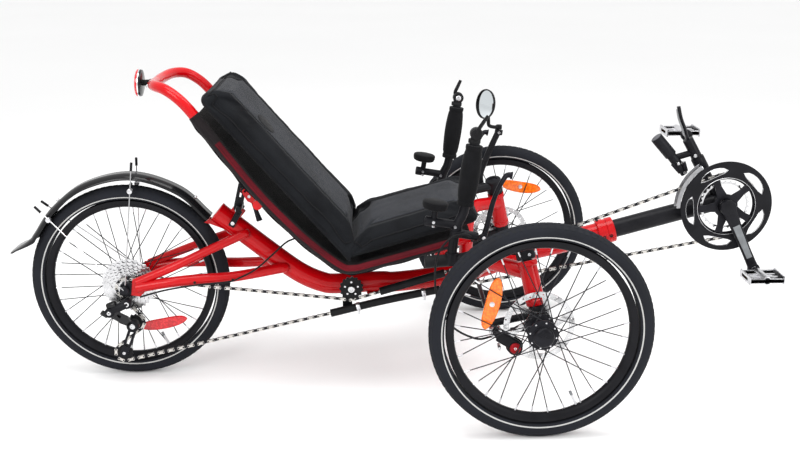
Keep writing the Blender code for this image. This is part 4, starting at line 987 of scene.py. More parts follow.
def front_mech(shape):
    """The front derailleur's links and springs between the post's clamp and the cage."""
    for start, end, radius, skin in (((0.384, -0.012, 0.520), (0.402, -0.014, 0.494), 0.0085, BLACK),
                                     ((0.396, -0.020, 0.527), (0.404, -0.020, 0.503), 0.0050, ALLOY),
                                     ((0.372, -0.010, 0.520), (0.392, -0.013, 0.498), 0.0052, ALLOY)):
        rod(shape, start, end, radius, skin, 18, edge=0.0012)
    for spot, radius in (((0.384, -0.0205, 0.522), 0.0036), ((0.400, -0.0225, 0.500), 0.0034),
                         ((0.396, -0.0225, 0.527), 0.0032)):
        bolt(shape, spot, (0, -1, 0), radius, STEEL, 0.002)
    bolt(shape, (0.4245, -0.0165, 0.5400), (0.2, -1, 0), 0.0045, STEEL, 0.003)


def post_blade(shape, top):
    """The curved leaf on top of the post, with a grey strip on its back face as a painted highlight."""
    spine = smooth([top + Vector((0.0005, 0, -0.004)), top + Vector((-0.008, 0, 0.024)),
                    top + Vector((-0.0195, 0, 0.052)), top + Vector((-0.0265, 0, 0.0800))], 6)
    widths = [0.0075, 0.0120, 0.0130, 0.0125, 0.0100, 0.0055]
    rings = []
    count = len(spine) - 1
    for k, (place, head, _, _) in enumerate(frames(spine)):
        across = Vector((0, 1, 0))
        out = head.cross(across)
        share = k / count * (len(widths) - 1)
        low = min(int(share), len(widths) - 2)
        half = widths[low] + (widths[low + 1] - widths[low]) * (share - low)
        rings.append([place + across * half * math.cos(a)
                      + out * (0.0042 * math.sin(a) + 0.002 * math.cos(a) ** 2)
                      for a in (2 * math.pi * j / 16 for j in range(16))])
    skin_rings(shape, rings, BLACK)
    # grey sheet laid just off the black leaf's back face: a painted highlight
    faces = [[p + (Vector((-0.0022, 0, -0.0008))) for p in ring[1:8]] for ring in rings[3:-1]]
    flat = [p for row in faces for p in row]
    quads = [(r * 7 + k, r * 7 + k + 1, (r + 1) * 7 + k + 1, (r + 1) * 7 + k)
             for r in range(len(faces) - 1) for k in range(6)]
    shape.add(flat, quads, GREY)


def front_cage():
    shape = Shape()
    band = [(r * math.cos(math.radians(a)), r * math.sin(math.radians(a)))
            for r, angles in ((0.1225, range(124, 182, 3)), (0.1132, range(181, 123, -3))) for a in angles]
    for y in (-0.0580, -0.0370):
        cutout(shape, [band], 0.0016, BB + Vector((0, y, 0)), CABLE_GREY, FLAT, 0.0003)
    box(shape, (0.0090, 0.0225, 0.0080), BB + Vector((-0.0675, -0.0475, 0.0955)), CHROME,
        axes((-0.566, 0, 0.824), (0, 1, 0)), 0.0015)
    box(shape, (0.0080, 0.0225, 0.0020), BB + Vector((-0.1178, -0.0475, 0.0060)), CHROME,
        axes((0, 0, 1), (0, 1, 0)), 0.0006)
    shape.make("front_derailleur_cage_plates", "front_cage", ("front_derailleur_cage",), "bright_plate")


def leaf(angle, low, high, width, steps=7):
    """A leaf-shaped window between two radii, its points along the turn."""
    outline = []
    for hand, reach in ((1, high), (-1, low)):
        for k in range(steps + 1):
            share = k / steps
            lean = (share - 0.5) * hand
            bow = 1 - (2 * share - 1) ** 2
            middle = (low + high) / 2
            r = middle + (reach - middle) * bow ** 0.6
            a = angle + width * lean
            outline.append((r * math.cos(a), r * math.sin(a)))
    return [p for k, p in enumerate(outline) if k != steps + 1][:-1]


def chainrings():
    """Guard with leaf windows, two toothed rings and the five-armed spider."""
    shape = Shape()
    spots = [CRANK_ANGLE + 2 * math.pi * (k + 0.5) / 5 for k in range(5)]
    loops = [circle(0.1108, 96)] + [leaf(a, 0.0800, 0.0985, math.radians(46)) for a in spots]
    loops += [circle(0.0700, 60)]
    face = BB + Vector((0, -0.0545, 0))
    cutout(shape, loops, 0.0026, face, BLACK, FLAT, 0.0004)
    for a in spots:
        edge = leaf(a, 0.0795, 0.0990, math.radians(47))
        line = [face + Vector((x, -0.0013, z)) for x, z in edge]
        sweep(shape, [*line, line[0]], 0.0006, STEEL, 6)
    ring = [face + Vector((0.0705 * math.cos(t), -0.0013, 0.0705 * math.sin(t)))
            for t in (2 * math.pi * k / 60 for k in range(61))]
    sweep(shape, ring, 0.0006, STEEL, 6)
    for teeth, y, bore, skin in ((39, RING_Y, 0.0655, ALLOY), (30, -0.0400, 0.0530, STEEL)):
        reach = pitch_radius(teeth)
        loops = [gear(teeth, reach - 0.0042, reach - 0.0004), circle(bore, 48)]
        cutout(shape, loops, 0.0020, BB + Vector((0, y, 0)), skin, FLAT, 0.0003)
    for a in spots:
        reach = Vector((math.cos(a), 0, math.sin(a)))
        across = Vector((-math.sin(a), 0, math.cos(a)))
        arm = [(0.026, -0.0125), (0.050, -0.0080), (0.066, -0.0095), (0.076, -0.0125), (0.0795, -0.006),
               (0.0795, 0.006), (0.076, 0.0125), (0.066, 0.0095), (0.050, 0.0080), (0.026, 0.0125)]
        cutout(shape, [arm, circle(0.0030, 10, (0.0705, 0))], 0.0040, BB + Vector((0, -0.0508, 0)), ALLOY,
               axes(reach, across), 0.0010)
        bolt(shape, BB + reach * 0.0740 + Vector((0, -0.0540, 0)), (0, -1, 0), 0.0042, STEEL, 0.0016)
        rod(shape, BB + reach * 0.052 + Vector((0, -0.0385, 0)), BB + reach * 0.052
            + Vector((0, -0.0500, 0)), 0.0042,
            STEEL, 12)
    lathe(shape, [(0.0192, -0.0490), (0.0285, -0.0490), (0.0295, -0.0500), (0.0285, -0.0530),
                  (0.0192, -0.0530)],
          BB, ALLOY, steps=40, closed=True)
    shape.make("chainrings_guard", "crank", ("chainrings",), "black_alloy")


def crank_end(sign):
    return BB + sign * CRANK_LENGTH * Vector((math.cos(CRANK_ANGLE), 0, math.sin(CRANK_ANGLE)))


def cranks():
    for side in (RIGHT, LEFT):
        name = side_name(side)
        shape = Shape()
        end = crank_end(1 if side == RIGHT else -1)
        root_y, tip_y = (-0.0680, -0.0840) if side == RIGHT else (0.0620, 0.0790)
        start, tip = BB + Vector((0, root_y, 0)), end + Vector((0, tip_y, 0))
        along = (tip - start).normalized()
        across = (end - BB).normalized().cross(Vector((0, 1, 0)))
        thin = along.cross(across)
        rings = []
        for share, half, deep in ((0.0, 0.0165, 0.0062), (0.12, 0.0160, 0.0066), (0.35, 0.0130, 0.0062),
                                  (0.7, 0.0115, 0.0058), (0.9, 0.0118, 0.0060), (1.0, 0.0128, 0.0062)):
            place = start.lerp(tip, share)
            ring = []
            for k in range(24):
                a = 2 * math.pi * k / 24
                c, s = math.cos(a), math.sin(a)
                ring.append(place + across * half * math.copysign(abs(c) ** 0.55, c)
                            + thin * deep * math.copysign(abs(s) ** 0.55, s))
            rings.append(ring)
        skin_rings(shape, rings, BLACK)
        for spot, radius, deep in ((start, 0.0190, 0.0080), (tip, 0.0142, 0.0070)):
            rod(shape, spot - Vector((0, deep, 0)), spot + Vector((0, deep, 0)), radius, BLACK, 36,
                edge=0.002)
        if side == RIGHT:
            rod(shape, BB + Vector((0, -0.0745, 0)), BB + Vector((0, 0.0345, 0)), 0.0121, STEEL, 28,
                edge=0.001)
            bolt(shape, BB + Vector((0, -0.0745, 0)), (0, -1, 0), 0.0110, ALLOY, 0.0014)
            plate_size = ((tip - start).length * 0.52, 0.0135)
            centre = start.lerp(tip, 0.55) + Vector((0, -0.0064, 0))
            loop = [(x * plate_size[0] / 2, y * plate_size[1] / 2 * (1.15 - 0.15 * x))
                    for x, y in ((-1, -1), (1, -1), (1, 1), (-1, 1))]
            cutout(shape, [loop], 0.0012, centre, GREY, axes(along, across), 0.0003)
        else:
            rod(shape, BB + Vector((0, 0.0350, 0)), BB + Vector((0, 0.0745, 0)), 0.0160, BLACK, 32,
                edge=0.0015)
        bolt(shape, tip + Vector((0, side * 0.0066, 0)), (0, side, 0), 0.0075, STEEL, 0.0016)
        shape.make(f"crank_arm_{name}_forged", "crank", (f"crank_arm_{name}",), "black_alloy")
        pedal(side, end, tip_y)


def pedal(side, end, tip_y):
    """A cage pedal: scalloped front and back plates, a waisted body, pins, and amber reflectors."""
    name = side_name(side)
    shape = Shape()
    inner = tip_y + side * 0.0085
    middle = end + Vector((0, inner + side * 0.052, 0))
    rod(shape, end + Vector((0, inner, 0)), end + Vector((0, inner + side * 0.088, 0)), 0.0078, ALLOY,
        24, edge=0.001)
    rod(shape, end + Vector((0, inner + side * 0.016, 0)), end + Vector((0, inner + side * 0.086, 0)),
        0.0102, SILVER,
        24, edge=0.002)
    for hand in (-1, 1):
        loop = []
        for k in range(13):
            y = -0.0365 + 0.073 * k / 12
            loop.append((y, 0.0088 + (0.0022 if k % 2 else 0.0)))
        loop += [(y, -z) for y, z in loop[::-1]]
        cutout(shape, [loop], 0.0030, middle + Vector((hand * 0.0405, 0, 0)), SILVER,
               axes((0, 1, 0), (0, 0, 1)), 0.0005)
        for y in (-0.0335, 0.0335):
            box(shape, (0.082, 0.0050, 0.0125), middle + Vector((0, y, 0)), SILVER, bevel=0.002)
        box(shape, (0.0060, 0.046, 0.0110), middle + Vector((hand * 0.0365, 0, 0)), PLASTIC, bevel=0.001)
        box(shape, (0.0030, 0.042, 0.0090), middle + Vector((hand * 0.0405, 0, 0)), AMBER, bevel=0.001)
        box(shape, (0.030, 0.0060, 0.0080), middle + Vector((hand * 0.024, 0.010, 0)), SILVER, bevel=0.001)
        box(shape, (0.030, 0.0060, 0.0080), middle + Vector((hand * 0.024, -0.010, 0)), SILVER, bevel=0.001)
    shape.make(f"pedal_{name}_cage", f"pedal_{name}", (f"pedal_{name}",), "silver_alloy")


# ---------------------------------------------------------------- steering

BAR_ROUTE = [(-0.184, 0.25, 0.362), (-0.1775, 0.25, 0.410), (-0.168, 0.25, 0.447), (-0.1535, 0.25, 0.486),
             (-0.1335, 0.25, 0.624), (-0.1310, 0.25, 0.641)]


def knuckle(side):
    shape = Shape()
    name = side_name(side)
    rod(shape, kingpin_point(side, -0.20), kingpin_point(side, 1.40), 0.0117, ALLOY, 32, edge=0.001)
    rod(shape, kingpin_point(side, -0.30), kingpin_point(side, -0.015), 0.0188, BLACK, 32, edge=0.002)
    rod(shape, kingpin_point(side, -0.16), (0.001, side * 0.349, 0.2435), 0.0160, BLACK, 28, edge=0.003)
    rod(shape, (0, side * 0.330, WHEEL_R), (0, side * 0.3600, WHEEL_R), 0.0158, BLACK, 28, edge=0.002)
    rod(shape, (0, side * 0.345, WHEEL_R), (0, side * 0.4325, WHEEL_R), 0.0084, STEEL, 24)
    sweep(shape, smooth([(-0.008, side * 0.334, 0.258), (-0.050, side * 0.324, 0.246),
                         (-0.095, side * 0.310, 0.231)],
                        5), 0.0083, BLACK, 20)
    rod(shape, (-0.004, side * 0.347, 0.236), (-0.060, side * 0.3455, 0.226), 0.0068, BLACK, 20, edge=0.001)
    shape.make(f"knuckle_{name}_forged", f"steer_{name}", (f"knuckle_{name}",), "black_metal")


def handlebar(side):
    """Clamp, bar, wrist rest, lever housing and shifter pod, and on the left the mirror's arm."""
    shape = Shape()
    name = side_name(side)
    y = side * 0.25
    low, high = kingpin_point(side, 1.03), kingpin_point(side, 1.42)
    up = (high - low).normalized()
    span = (high - low).length
    lathe(shape, [(0.0119, 0), (0.0205, 0), (0.0215, 0.0012), (0.0215, span - 0.0015), (0.0203, span),
                  (0.0119, span)], low, BLACK, up, 36, closed=True)
    for share, turn in ((0.25, 0), (0.75, 0), (0.25, 1), (0.75, 1)):
        facing = Vector((1, 0, 0)) if turn else Vector((0.3, side * 1.0, 0)).normalized()
        facing = (facing - facing.dot(up) * up).normalized()
        bolt(shape, low + up * span * share + facing * 0.0208, facing, 0.0036, SILVER, 0.0026)
    base = smooth([(-0.030, side * 0.297, 0.397), (-0.095, side * 0.270, 0.389), (-0.160, y, 0.364),
                   (-0.243, y, 0.357)], 8)
    sweep(shape, base, 0.0127, BLACK, 28)
    tail, heading = base[-1], (base[-1] - base[-5]).normalized()
    rod(shape, tail - heading * 0.076, tail + heading * 0.0005, 0.0140, PLASTIC, 28, edge=0.0015)
    sweep(shape, [sided(point, side) for point in smooth(BAR_ROUTE, 8)], 0.0109, BLACK, 28)
    rod(shape, (-0.1835, y, 0.350), (-0.1822, y, 0.378), 0.0155, BLACK, 28, edge=0.002)
    rod(shape, (-0.172, y, 0.4425), (-0.243, y, 0.4545), 0.0094, BLACK, 24, edge=0.001)
    rod(shape, (-0.226, y, 0.4510), (-0.2425, y, 0.4540), 0.0112, BLACK, 24, edge=0.0015)
    for spot, facing in (((-0.224, y, 0.4410), (-0.1, 0, -1)), ((-0.224, y - 0.0100, 0.4520), (0, -1, 0)),
                         ((-0.176, y - 0.0090, 0.4400), (0, -1, 0))):
        bolt(shape, spot, facing, 0.0036, SILVER, 0.003)
    rod(shape, (-0.224, y, 0.452), (-0.219, y, 0.482), 0.0068, BLACK, 20, edge=0.001)
    rest = [(0.0, -0.0050), (0.0230, -0.0050), (0.0265, -0.0030), (0.0285, 0.0020), (0.0290, 0.0080),
            (0.0282, 0.0115), (0.0255, 0.0132), (0.0, 0.0140)]
    lathe(shape, rest, (-0.2205, y, 0.4850), FOAM, (0.164, 0, 0.986), 40)
    rod(shape, (-0.176, y, 0.424), (-0.124, y, 0.4145), 0.0098, BLACK, 24, edge=0.002)
    rod(shape, (-0.171, y - 0.001, 0.431), (-0.171, y + 0.001, 0.4175), 0.0150, BLACK, 28, edge=0.002)
    rod(shape, (-0.130, y - 0.011, 0.6475), (-0.130, y + 0.011, 0.6475), 0.0138, PLASTIC, 32, edge=0.002)
    bolt(shape, (-0.130, y - 0.0105, 0.6475), (0, -1, 0), 0.0068, SILVER, 0.0018)
    rod(shape, (-0.1345, y, 0.6270), (-0.1335, y, 0.6360), 0.0136, PLASTIC, 28, edge=0.001)
    if side == LEFT:
        arm = smooth([(-0.095, 0.270, 0.390), (-0.060, 0.326, 0.384), (-0.060, 0.340, 0.420),
                      (-0.036, 0.352, 0.480), (-0.009, 0.360, 0.537)], 8)
        sweep(shape, arm, 0.0084, BLACK, 20)
        rod(shape, (-0.0100, 0.360, 0.5260), (-0.0078, 0.360, 0.5400), 0.0112, BLACK, 24, edge=0.0015)
        bolt(shape, (-0.0090, 0.3500, 0.5330), (0, -1, 0), 0.0036, SILVER, 0.0025)
    shape.make(f"handlebar_{name}_bar", f"steer_{name}", (f"handlebar_{name}",), "black_alloy")
    foot, top = Vector((-0.1535, y, 0.486)), Vector((-0.1335, y, 0.624))
    grip = Shape()
    profile = [(0.0112, -0.0680), (0.0180, -0.0680), (0.0190, -0.0670), (0.0190, -0.0590), (0.0178, -0.0580),
               (0.0178, -0.0540), (0.0196, -0.0500), (0.0210, -0.0350), (0.0221, -0.0150), (0.0225, 0.0050),
               (0.0221, 0.0220), (0.0207, 0.0400), (0.0196, 0.0500), (0.0180, 0.0560), (0.0180, 0.0590),
               (0.0188, 0.0600), (0.0188, 0.0670), (0.0178, 0.0680), (0.0112, 0.0680)]
    lathe(grip, profile, (foot + top) / 2, FOAM, top - foot, 40, closed=True)
    grip.make(f"grip_{name}_foam", f"steer_{name}", (f"grip_{name}",), "foam")


def bar_levers(side):
    name = side_name(side)
    y = side * 0.25
    shape = Shape()
    face = y + side * 0.0135
    rod(shape, (-0.130, face - 0.0022, 0.6475), (-0.130, face + 0.0022, 0.6475), 0.0125, PLASTIC, 28,
        edge=0.0008)
    ends = {RIGHT: ((-0.1290, 0.6550), (-0.1060, 0.6890)), LEFT: ((-0.1370, 0.6580), (-0.1225, 0.6910))}
    base, tip = ends[side]
    line = smooth([(-0.130, face, 0.6475), (base[0], face, base[1]),
                   ((base[0] + tip[0]) / 2, face, (base[1] + tip[1]) / 2
                                                                    + 0.001), (tip[0], face, tip[1])], 6)
    count = len(line)
    sweep(shape, line, [0.0046 + 0.0012 * math.sin(k / count * 3.0) for k in range(count)], PLASTIC, 14,
          squeeze=0.62)
    shape.make(f"shift_lever_{name}_blade", f"shift_lever_{name}", (f"shift_lever_{name}",), "black_plastic")
    shape = Shape()
    route = smooth([(-0.1115, y, 0.4125), (-0.1045, y, 0.438), (-0.0925, y, 0.490), (-0.080, y, 0.524),
                    (-0.066, y, 0.5495), (-0.058, y, 0.5545), (-0.050, y, 0.553)], 6)
    count = len(route)
    radii = [0.0060 - 0.0014 * math.sin(math.pi * k / count) + (0.0014 if k > count - 4 else 0)
             for k in range(count)]
    sweep(shape, route, radii, ALLOY, 18, squeeze=1.25)
    rod(shape, (-0.1115, y - 0.008, 0.4125), (-0.1115, y + 0.008, 0.4125), 0.0084, BLACK, 24, edge=0.001)
    bolt(shape, (-0.1115, y - 0.0078, 0.4125), (0, -1, 0), 0.0042, SILVER, 0.0018)
    shape.make(f"brake_lever_{name}_blade", f"brake_lever_{name}", (f"brake_lever_{name}",), "black_alloy")


def caliper(side):
    name = side_name(side)
    shape = Shape()
    disc_y = HALF_TRACK - 0.0368
    middle = Vector((-0.074, side * (disc_y - 0.0052), 0.214))
    slant = Matrix.Rotation(math.radians(32), 3, "Y")
    for shift, deep in ((0.0084, 0.0090), (-0.0075, 0.0130)):
        box(shape, (0.050, deep, 0.026), middle + Vector((0.006, side * shift, -0.004)), BLACK, slant,
            bevel=0.0060,
            segments=4)
        box(shape, (0.030, deep * 0.9, 0.018), middle + Vector((-0.012, side * shift, 0.012)), BLACK, slant,
            bevel=0.0045, segments=3)
    rod(shape, (-0.052, side * 0.3530, 0.194), (-0.052, side * 0.3545, 0.194), 0.0190, BLACK, 32)
    rod(shape, (-0.052, side * 0.3665, 0.194), (-0.052, side * 0.3702, 0.194), 0.0165, BLACK, 32, edge=0.0012)
    for z in (-0.020, 0.020):
        rod(shape, middle + Vector((-0.012, side * -0.0130, z)), middle
            + Vector((-0.012, side * 0.0120, z)), 0.0042,
            STEEL, 14, edge=0.0006)
    dial = Vector((-0.052, side * 0.3700, 0.195))
    lathe(shape, [(0.0, 0.0), (0.0122, 0.0), (0.0122, 0.0035), (0.0105, 0.0050), (0.0085, 0.0045),
                  (0.0070, 0.0052),
                  (0.0, 0.0054)], dial, DIAL, (0, side, 0), 32)
    bolt(shape, dial + Vector((0, side * 0.0048, 0)), (0, side, 0), 0.0030, STEEL, 0.001)
    rod(shape, (-0.092, side * 0.3560, 0.222), (-0.1005, side * 0.3525, 0.217), 0.0048, STEEL, 14,
        edge=0.0008)
    shape.make(f"brake_caliper_{name}_body", f"steer_{name}", (f"brake_caliper_{name}",), "black_alloy")


def brake_hose(side):
    y = side * 0.25
    name = side_name(side)
    hose = smooth([(-0.1010, side * 0.352, 0.216), (-0.135, side * 0.338, 0.206),
                   (-0.185, side * 0.315, 0.226), (-0.215, side * 0.290, 0.275),
                   (-0.222, side * 0.280, 0.330), (-0.215, side * 0.282, 0.385),
                   (-0.188, side * 0.280, 0.420), (-0.158, side * 0.270, 0.426),
                   (-0.140, y + side * 0.0135, 0.418)], 8)
    shape = sweep(Shape(), hose, 0.0024, HOSE, 12)
    made = shape.make(f"brake_cable_{name}_hose", f"steer_{name}", (f"brake_cable_{name}",), "black_plastic")


def shift_cable():
    """The cable that leaves the main tube under the seat and runs to the chain stay's guides."""
    route = smooth([(-0.5480, -0.0400, 0.3560), (-0.5700, -0.0480, 0.3480), (-0.6000, -0.0560, 0.3230),
                    (-0.6420, -0.0640, 0.2880), (-0.6800, -0.0740, 0.2700), (-0.7100, -0.0790, 0.2610),
                    (-0.7900, -0.0865, 0.2560), (-0.8600, -0.0960, 0.2480), (-0.9200, -0.0985, 0.2330)], 8)
    made = sweep(Shape(), route, 0.0022, HOSE, 12).make("rear_shift_cable", "frame", slot="black_plastic")


def tie_rod():
    shape = Shape()
    rod(shape, (-0.095, -0.304, 0.2130), (-0.095, 0.304, 0.2130), 0.0058, BLACK, 20)
    for side in (RIGHT, LEFT):
        rod(shape, (-0.095, side * 0.310, 0.2060), (-0.095, side * 0.310, 0.2198), 0.0084, STEEL, 24,
            edge=0.002)
        rod(shape, (-0.095, side * 0.270, 0.2130), (-0.095, side * 0.302, 0.2130), 0.0072, BLACK, 6)
    shape.make("tie_rod_bar", "tie_rod", ("tie_rod",), "black_metal")


def mirror():
    shape = Shape()
    facing = Vector((-0.85, -0.50, 0.15)).normalized()
    centre = Vector((-0.047, 0.330, 0.616))
    shell = [(0.0, -0.0060), (0.0200, -0.0057), (0.0330, -0.0040), (0.0390, -0.0010), (0.0405, 0.0030),
             (0.0400, 0.0058), (0.0380, 0.0060), (0.0375, 0.0040), (0.0, 0.0040)]
    lathe(shape, shell, centre, PLASTIC, facing, 64)
    lathe(shape, [(0.0, 0.0041), (0.0370, 0.0041), (0.0374, 0.0038)], centre, GLASS, facing, 64)
    stem = smooth([(-0.0085, 0.360, 0.5485), (-0.022, 0.350, 0.5490), (-0.038, 0.337, 0.556),
                   (-0.0405, 0.3335, 0.570),
                   (-0.0415, 0.3335, 0.590)], 7)
    sweep(shape, stem, 0.0050, PLASTIC, 18)
    rod(shape, (-0.0085, 0.360, 0.5415), (-0.0085, 0.360, 0.5535), 0.0085, PLASTIC, 24, edge=0.0015)
    shape.make("mirror_head", "mirror", ("mirror",), "mirror_case")


# ---------------------------------------------------------------- seat

RAIL_Y, RAIL_R = 0.155, 0.0125
RAIL_ROUTE = [(-0.130, RAIL_Y, 0.3867), (-0.262, RAIL_Y, 0.3505), (-0.362, RAIL_Y, 0.324),
              (-0.405, RAIL_Y, 0.3145), (-0.440, RAIL_Y, 0.324), (-0.52, RAIL_Y, 0.391),
              (-0.607, RAIL_Y, 0.484), (-0.668, RAIL_Y, 0.5625), (-0.729, RAIL_Y, 0.6455),
              (-0.768, RAIL_Y, 0.698), (-0.795, 0.150, 0.7235), (-0.820, 0.138, 0.7375),
              (-0.845, 0.108, 0.7405), (-0.860, 0.055, 0.7365), (-0.863, 0.0, 0.734)]
BACK_ORIGIN = Vector((-0.432, 0, 0.316))
BACK_UP, BACK_OUT = Vector((-0.650, 0, 0.760)).normalized(), Vector((0.760, 0, 0.650)).normalized()
BASE_FORWARD, BASE_UP = Vector((0.963, 0, 0.2695)).normalized(), Vector((-0.2695, 0, 0.963)).normalized()
MITRE_POINT, MITRE_FORWARD = Vector((-0.410, 0, 0.350)), Vector((0.967, 0, -0.253)).normalized()
HALF_WIDTH = 0.172


def seat_frame():
    shape = Shape()
    half = smooth(RAIL_ROUTE, 8)
    sweep(shape, half + [sided(point, -1) for point in reversed(half[:-1])], RAIL_R, RED, 28)
    rod(shape, (-0.187, -RAIL_Y, 0.3565), (-0.187, RAIL_Y, 0.3565), 0.0100, RED, 24)
    rod(shape, (-0.6225, -RAIL_Y, 0.4700), (-0.6225, RAIL_Y, 0.4700), 0.0110, RED, 24)
    for side in (RIGHT, LEFT):
        box(shape, (0.028, 0.006, 0.036), (-0.190, side * 0.0110, 0.3440), RED, bevel=0.002)
        start = Vector(RAIL_ROUTE[0])
        out = (start - Vector(RAIL_ROUTE[1])).normalized()
        rod(shape, sided(start - out * 0.004, side), sided(start + out * 0.0014, side), 0.0130, PLASTIC, 28,
            edge=0.0012)
    cutout(shape, [[(-0.030, -0.010), (0.018, -0.012), (0.031, -0.002), (0.031, 0.008), (0.010, 0.012),
                    (-0.028, 0.011)]], 0.0115, (-0.651, 0, 0.4690), RED,
           axes((-1, 0, -0.05), (0, 0, 1)), 0.001)
    bracket = [(-0.0215, 0.0020), (-0.0235, 0.0120), (-0.0160, 0.0170), (-0.0090, 0.0120), (0.0010, 0.0020),
               (0.0150, -0.0040), (0.0250, -0.0170), (0.0200, -0.0245), (0.0060, -0.0240), (-0.0120, -0.0150)]
    for side in (RIGHT, LEFT):
        cutout(shape, [bracket, circle(0.0030, 12, (-0.0160, 0.0100))], 0.0035,
               (-0.6490, side * 0.0255, 0.4620),
               RED, FLAT, 0.0010)
        bolt(shape, (-0.6560, side * 0.0270, 0.4590), (0, side, 0), 0.0040, STEEL, 0.002)
    shape.make("seat_frame_rails", "seat", ("seat_frame",), "red_paint")


def sling():
    """The stretched mesh between the rails, its sleeves round them and the hem laced behind."""
    line = smooth([(x, 0, z) for x, _, z in RAIL_ROUTE[:9]] + [(-0.752, 0, 0.6765)], 8)
    half = RAIL_Y - RAIL_R - 0.0012
    columns = 29
    points = []
    for place, head, _, _ in frames(line):
        out = Vector((head.z, 0, -head.x))
        for column in range(columns):
            y = half * (2 * column / (columns - 1) - 1)
            sag = 0.004 * (1 - (y / half) ** 2)
            points.append(place + Vector((0, y, 0)) - out * sag)
    faces = [(r * columns + c, r * columns + c + 1, (r + 1) * columns + c + 1, (r + 1) * columns + c)
             for r in range(len(line) - 1) for c in range(columns - 1)]
    panel = Shape().add(points, faces, NET)
    made = panel.make("seat_sling_panel", "seat", ("seat_sling",), "mesh_fabric", crease=60)
    sleeves, hems = Shape(), Shape()
    for side in (RIGHT, LEFT):
        rail = smooth([sided(p, side) for p in RAIL_ROUTE[:10]], 8)[2:-3]
        rings = []
        count = len(rail)
        for k, (place, head, _, _) in enumerate(frames(rail)):
            across = Vector((0, 1, 0))
            out = head.cross(across)
            ring = []
            for j in range(28):
                a = 2 * math.pi * j / 28
                ripple = 0.0004 * noise.noise(Vector((k * 0.35, math.cos(a) * 2, side)))
                r = RAIL_R + 0.0011 + ripple
                ring.append(place + across * r * math.cos(a) + out * r * math.sin(a))
            rings.append(ring)
        flat = [p for ring in rings for p in ring]
        # the red rail shows only in a strip along each rail's outer side, a painted highlight of the rail
        # under the mesh; the rest is black mesh
        for skin, lit in ((NET_RED_HIGHLIGHT, True), (NET, False)):
            quads = [(r * 28 + j, r * 28 + (j + 1) % 28, r * 28 + 28 + (j + 1) % 28, r * 28 + 28 + j)
                     for r in range(len(rings) - 1) for j in range(28)
                     if (side * math.cos(2 * math.pi * (j + 0.5) / 28
                                         + 0.25 * side) > 0.86 and r < len(rings) - 9) == lit]
            sleeves.add(flat, quads, skin)
        strip = []
        for k, (place, head, _, _) in enumerate(frames(rail)):
            out = Vector((head.z, 0, -head.x))
            fade = min(1.0, k / 6, (count - 1 - k) / 4)
            wave = 0.0030 * noise.noise(Vector((k * 0.23, side * 3.0, 0))) + 0.0018 * math.sin(k * 0.9)
            reach = RAIL_R + 0.0016 + fade * (0.0034 + wave * 0.6)
            inward = -side
            strip.append([place - out * (RAIL_R * 0.2) + Vector((0, inward * 0.0128, 0)),
                          place - out * (reach * 0.75) + Vector((0, inward * 0.0100, 0)),
                          place - out * reach + Vector((0, inward * 0.0060, 0)),
                          place - out * (reach + 0.0006) + Vector((0, inward * 0.0048, 0)),
                          place - out * (reach * 0.78) + Vector((0, inward * 0.0075, 0)),
                          place - out * (RAIL_R * 0.3) + Vector((0, inward * 0.0114, 0))])
        skin_rings(hems, strip, NET)
    for k in range(9):
        share = 0.12 + 0.80 * k / 8
        here = int(share * (len(line) - 1))
        spot = line[here]
        head = (line[here + 1] - spot).normalized() if k < 8 else Vector((-0.65, 0, 0.76))
        out = Vector((head.z, 0, -head.x))
        points = smooth([spot - out * 0.014 + Vector((0, y, 0)) - out * 0.004 * (1 - (y / 0.14) ** 2)
                         for y in (-0.142, -0.07, 0.0, 0.07, 0.142)], 4)
        rings = [[p + head * 0.010, p + head * 0.010 - out * 0.0012, p - head * 0.010 - out * 0.0012,
                  p - head * 0.010]
                 for p in points]
        skin_rings(hems, rings, NET)
    sleeve = sleeves.make("seat_sling_sleeves", "seat", slot="mesh_fabric", crease=180)
    hem = hems.make("seat_sling_hem", "seat", slot="mesh_fabric", crease=60)


def swollen(mesh, pinned, limit):
    """The mesh blown up a little as cloth, with the pinned side held and each point's move limited."""
    carrier = bpy.data.objects.new("swelling", mesh)
    bpy.context.scene.collection.objects.link(carrier)
    group = carrier.vertex_groups.new(name="held")
    start = [v.co.copy() for v in mesh.vertices]
    group.add([k for k, p in enumerate(start) if pinned(p)], 1.0, "REPLACE")
    cloth = carrier.modifiers.new("cloth", "CLOTH")
    settings = cloth.settings
    settings.quality = 4
    settings.mass = 0.3
    settings.tension_stiffness = settings.compression_stiffness = 12
    settings.bending_stiffness = 0.8
    settings.use_pressure = True
    settings.uniform_pressure_force = 4
    settings.effector_weights.gravity = 0
    settings.vertex_group_mass = "held"
    cloth.point_cache.frame_start, cloth.point_cache.frame_end = 1, 20
    scene = bpy.context.scene
    for step in range(1, 21):
        scene.frame_set(step)
    done = bpy.data.meshes.new_from_object(carrier.evaluated_get(bpy.context.evaluated_depsgraph_get()))
    for vertex, before in zip(done.vertices, start):
        move = vertex.co - before
        if move.length > limit:
            vertex.co = before + move.normalized() * limit
    scene.frame_set(1)
    bpy.data.objects.remove(carrier)
    return done


